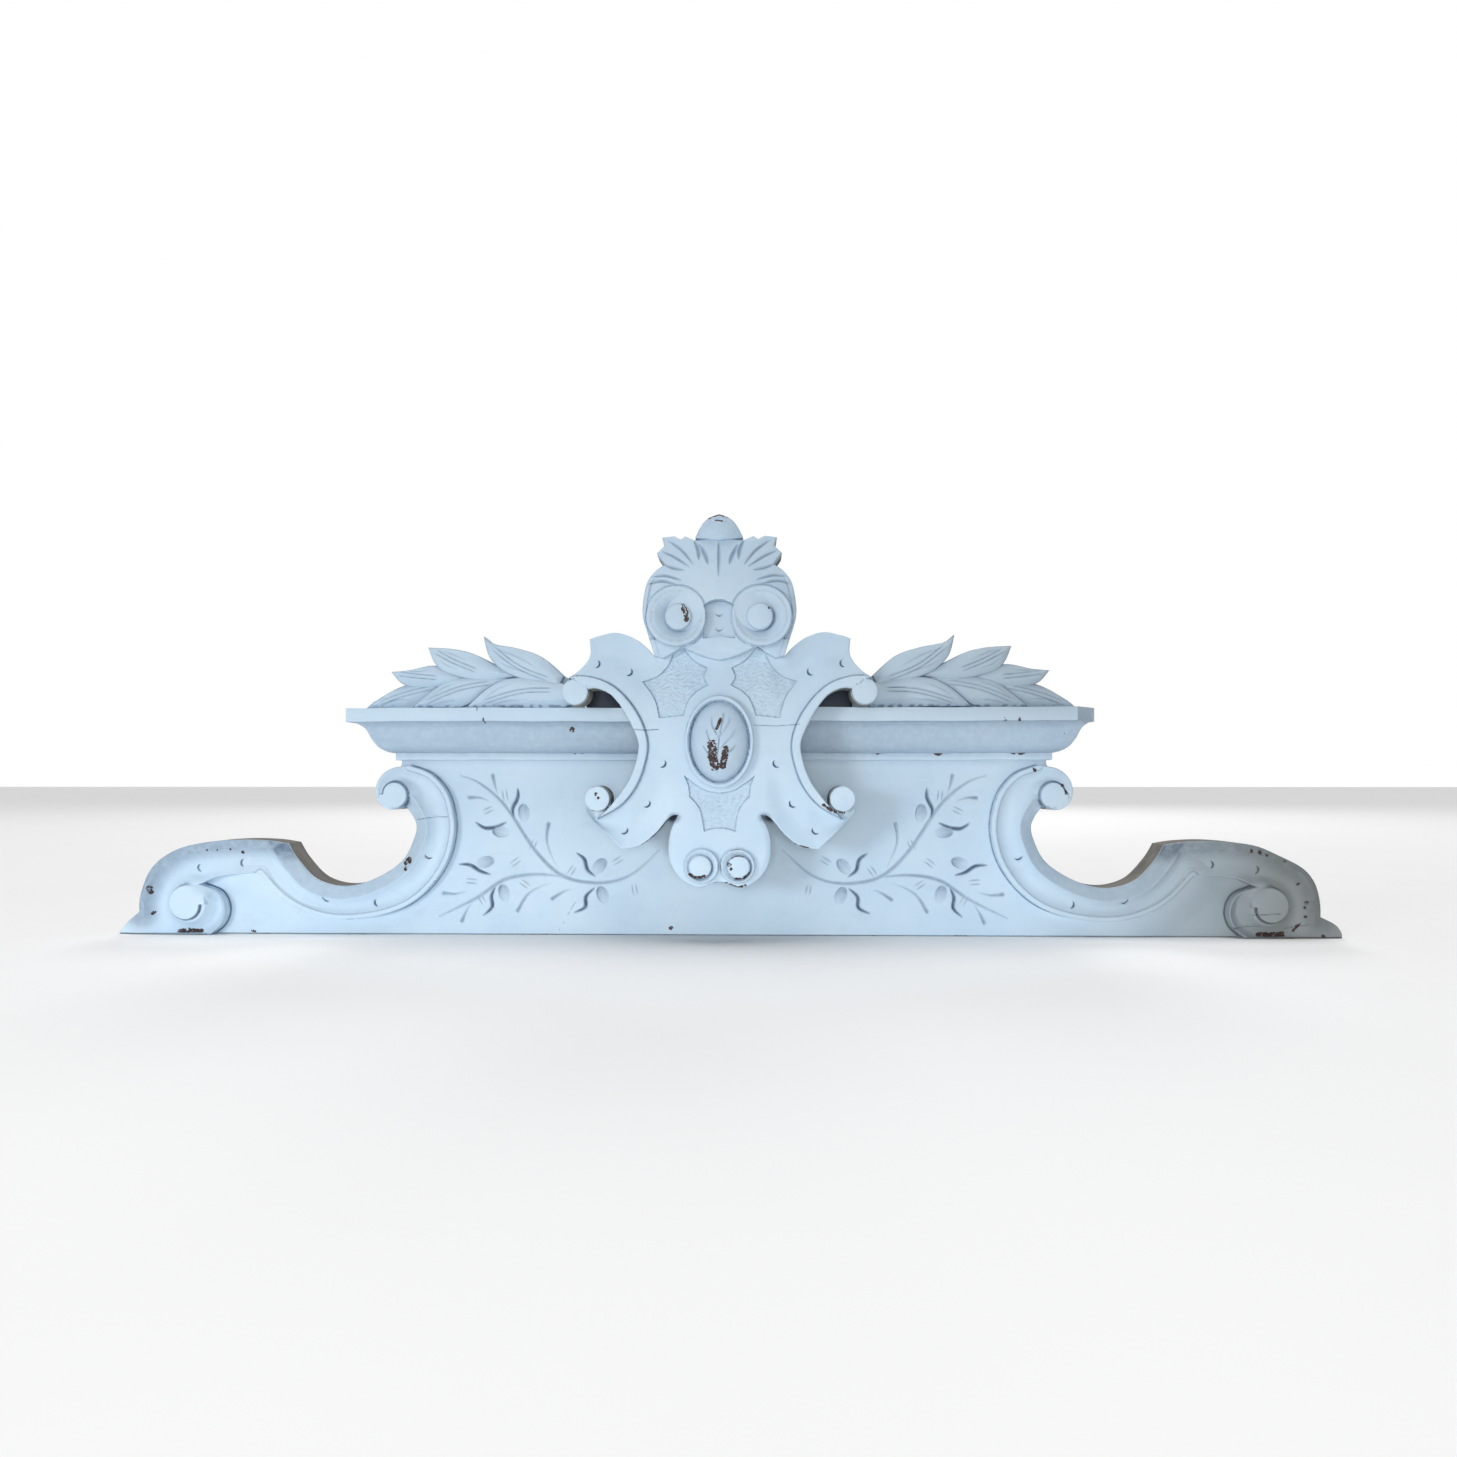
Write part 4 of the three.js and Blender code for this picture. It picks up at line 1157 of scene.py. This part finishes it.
class PEDIMENT_OT_cartouche(bpy.types.Operator):
    """Carves the cartouche with its crest leaf, volutes, C bands and oval boss"""

    bl_idname = "pediment.cartouche"
    bl_label = "Cartouche"

    def execute(self, context):
        sizes = context.scene.pediment_sizes
        edge = sizes.edge_round
        bm = drawing()
        carve, fine = plate_carving()
        add_slab(bm, cartouche_outline(), PLATE_BACK, carve, PLATE_CELL, edge, fine, True)
        carve, fine = crest_carving()
        chin = [(68, 351), (56, 358), (46, 364)] + smooth([(40, 362), (20, 353), (0, 348)], 4)
        crest = both(CREST_TEETH[:-1] + smooth(CREST_SIDE, 5) + chin)
        add_slab(bm, crest, PLATE - 8, carve, CREST_CELL, edge, fine)
        knob = both(smooth(KNOB[:4], 5)[:-1] + smooth(KNOB[3:], 4))
        add_slab(bm, knob, PLATE - 8, knob_carving(), KNOB_CELL, edge)
        lip = both([(0, 377)] + smooth([(9, 376.5), (18, 374), (25, 370)], 4)
                   + smooth([(20, 363), (10, 359.5), (0, 358.5)], 4))
        add_slab(bm, lip, PLATE, lambda x, z: (151 - 0.01 * x ** 2 + 0.22 * (z - 368), 0 * x), LIP_CELL, edge)
        oval = [(OVAL_X * math.cos(a), OVAL_HEIGHT + OVAL_Z * math.sin(a))
                for a in np.linspace(0, 2 * math.pi, 96, endpoint=False)]
        add_slab(bm, oval, PLATE_BACK + 4, boss_carving(), BOSS_CELL, edge)
        for side in (-1, 1):
            def mirrored(circle, inset=0):
                return side * circle[0], circle[1], circle[2] - inset

            for disc, eye, front, sink in VOLUTES:
                disc, eye = mirrored(disc), mirrored(eye)
                carve = spiral_carving(disc, eye, front, sink)
                add_slab(bm, ring(disc, 64), PLATE - 6, carve, CREST_CELL, edge)
                add_slab(bm, ring(eye), PLATE - 6, domed(eye, front + 2, 1.5), EYE_CELL, 1.4 * edge)
            for circle in (EAR_VOLUTE, FOOT_VOLUTE):
                eye = mirrored(circle, 0.5)
                carve = domed(eye, BAND - 0.4, 0.6)
                add_slab(bm, ring(eye), PLATE_BACK + 1, carve, EYE_CELL, edge, None, True)
        for half, low, high in ((50, 95, CORNICE_FOOT - GAP), (70, WORN_CAP + GAP, TONGUE_TOP)):
            block = [(-half, low), (half, low), (half, high), (-half, high)]
            add_slab(bm, block, BOARD + GAP, level(PLATE_BACK + 2, 0), BLOCK_CELL, edge, None, True)
        dress(bm, "cartouche_carving", ["cartouche"], finishes(context))
        return {"FINISHED"}


# Stage

# Soft lights: name, place, aim, size in metres and power in watts
LAMPS = [
    ("key_light", (-2.6, -3.5, 0.35), (0.1, 0, 0), 0.9, 57),
    ("front_fill", (0.1, -3.2, 0.0), (0.05, 0, -0.1), 0.8, 40),
    ("back_fill", (0.5, 5.5, 4.0), (0, 0, 0), 2.5, 110),
]
WHITE = (1, 1, 1, 1)
SKY_STRENGTH, WASH_STRENGTH, WASH_ANGLE = 0.14, 2.0, math.radians(60)
FLOOR_HALF, FLOOR_GAP = 30, 0.0005
# The photograph in pixels: its width, focal length and the point that the camera aims at
PICTURE, FOCAL, AIM_X, AIM_Y = 1457, 1069.5, 721.5, 780
SENSOR = 36
CAMERA_DISTANCE, CAMERA_HEIGHT, CAMERA_TURN = 1.400, 0.203, math.radians(1.5)


def turned(thing, place, aim):
    """Puts a lamp or the camera at a place and turns it to its aim."""
    thing.location = place
    thing.rotation_mode = "QUATERNION"
    thing.rotation_quaternion = (Vector(aim) - Vector(place)).to_track_quat("-Z", "Y")
    bpy.context.scene.collection.objects.link(thing)


class PEDIMENT_OT_stage(bpy.types.Operator):
    """Sets the floor, the soft light and the camera"""

    bl_idname = "pediment.stage"
    bl_label = "Floor, light and camera"

    def execute(self, context):
        scene = context.scene
        bm = bmesh.new()
        bmesh.ops.create_grid(bm, x_segments=1, y_segments=1, size=FLOOR_HALF)
        bmesh.ops.translate(bm, vec=(0, 0, BASE_Z - FLOOR_GAP), verts=bm.verts)
        mesh = bpy.data.meshes.new("pale_floor")
        bm.to_mesh(mesh)
        bm.free()
        floor = bpy.data.objects.new("pale_floor", mesh)
        desk = NodeDesk("pale_floor")
        tone = desk.mix(desk.noise(3, 3), (0.90, 0.90, 0.90), (0.93, 0.93, 0.93))
        desk.feed(desk.shader, {"Base Color": tone, "Roughness": 0.9})
        mesh.materials.append(desk.material)
        scene.collection.objects.link(floor)
        self.light(scene)
        self.camera(scene)
        return {"FINISHED"}

    def light(self, scene):
        world = bpy.data.worlds.new("studio")
        scene.world = world
        world.use_nodes = True
        tree = world.node_tree
        sky = tree.nodes["Background"]
        sky.inputs["Color"].default_value = WHITE
        sky.inputs["Strength"].default_value = SKY_STRENGTH
        backdrop = tree.nodes.new("ShaderNodeBackground")
        backdrop.inputs["Color"].default_value = WHITE
        seen = tree.nodes.new("ShaderNodeLightPath")
        either = tree.nodes.new("ShaderNodeMixShader")
        tree.links.new(seen.outputs["Is Camera Ray"], either.inputs["Fac"])
        tree.links.new(sky.outputs["Background"], either.inputs[1])
        tree.links.new(backdrop.outputs["Background"], either.inputs[2])
        tree.links.new(either.outputs["Shader"], tree.nodes["World Output"].inputs["Surface"])
        for name, place, aim, size, power in LAMPS:
            lamp = bpy.data.lights.new(name, "AREA")
            lamp.size = size
            lamp.energy = power
            turned(bpy.data.objects.new(name, lamp), place, aim)
        wash = bpy.data.lights.new("floor_wash", "SUN")
        wash.energy = WASH_STRENGTH
        wash.angle = WASH_ANGLE
        scene.collection.objects.link(bpy.data.objects.new("floor_wash", wash))
        scene.view_settings.view_transform = "Standard"

    def camera(self, scene):
        lens = bpy.data.cameras.new("camera")
        lens.sensor_width = SENSOR
        lens.lens = SENSOR * FOCAL / PICTURE
        lens.shift_x = (PICTURE / 2 - AIM_X) / PICTURE
        lens.shift_y = (AIM_Y - PICTURE / 2) / PICTURE
        scene.camera = bpy.data.objects.new("camera", lens)
        target = Vector((0, -BOARD * MM, BASE_Z + CAMERA_HEIGHT))
        place = target + CAMERA_DISTANCE * Vector((math.sin(CAMERA_TURN), -math.cos(CAMERA_TURN), 0))
        turned(scene.camera, place, target)


class PEDIMENT_PT_panel(bpy.types.Panel):
    """Lists the pediment's pieces"""

    bl_label = "Pediment"
    bl_idname = "PEDIMENT_PT_panel"
    bl_space_type = "VIEW_3D"
    bl_region_type = "UI"
    bl_category = "Pediment"

    def draw(self, context):
        for group in (context.scene.pediment_sizes, context.scene.pediment_finish):
            for key in group.__annotations__:
                self.layout.prop(group, key)
        for operator in STEPS:
            self.layout.operator(operator.bl_idname)


STEPS = (PEDIMENT_OT_board, PEDIMENT_OT_cornice, PEDIMENT_OT_sprays, PEDIMENT_OT_cartouche, PEDIMENT_OT_stage)
CLASSES = (PedimentSizes, PedimentFinish, *STEPS, PEDIMENT_PT_panel)


def register():
    for cls in CLASSES:
        bpy.utils.register_class(cls)
    bpy.types.Scene.pediment_sizes = bpy.props.PointerProperty(type=PedimentSizes)
    bpy.types.Scene.pediment_finish = bpy.props.PointerProperty(type=PedimentFinish)


def unregister():
    del bpy.types.Scene.pediment_finish
    del bpy.types.Scene.pediment_sizes
    for cls in reversed(CLASSES):
        bpy.utils.unregister_class(cls)


def main():
    register()
    bpy.ops.pediment.board()
    bpy.ops.pediment.cornice()
    bpy.ops.pediment.sprays()
    bpy.ops.pediment.cartouche()
    bpy.ops.pediment.stage()


if __name__ == "__main__":
    main()
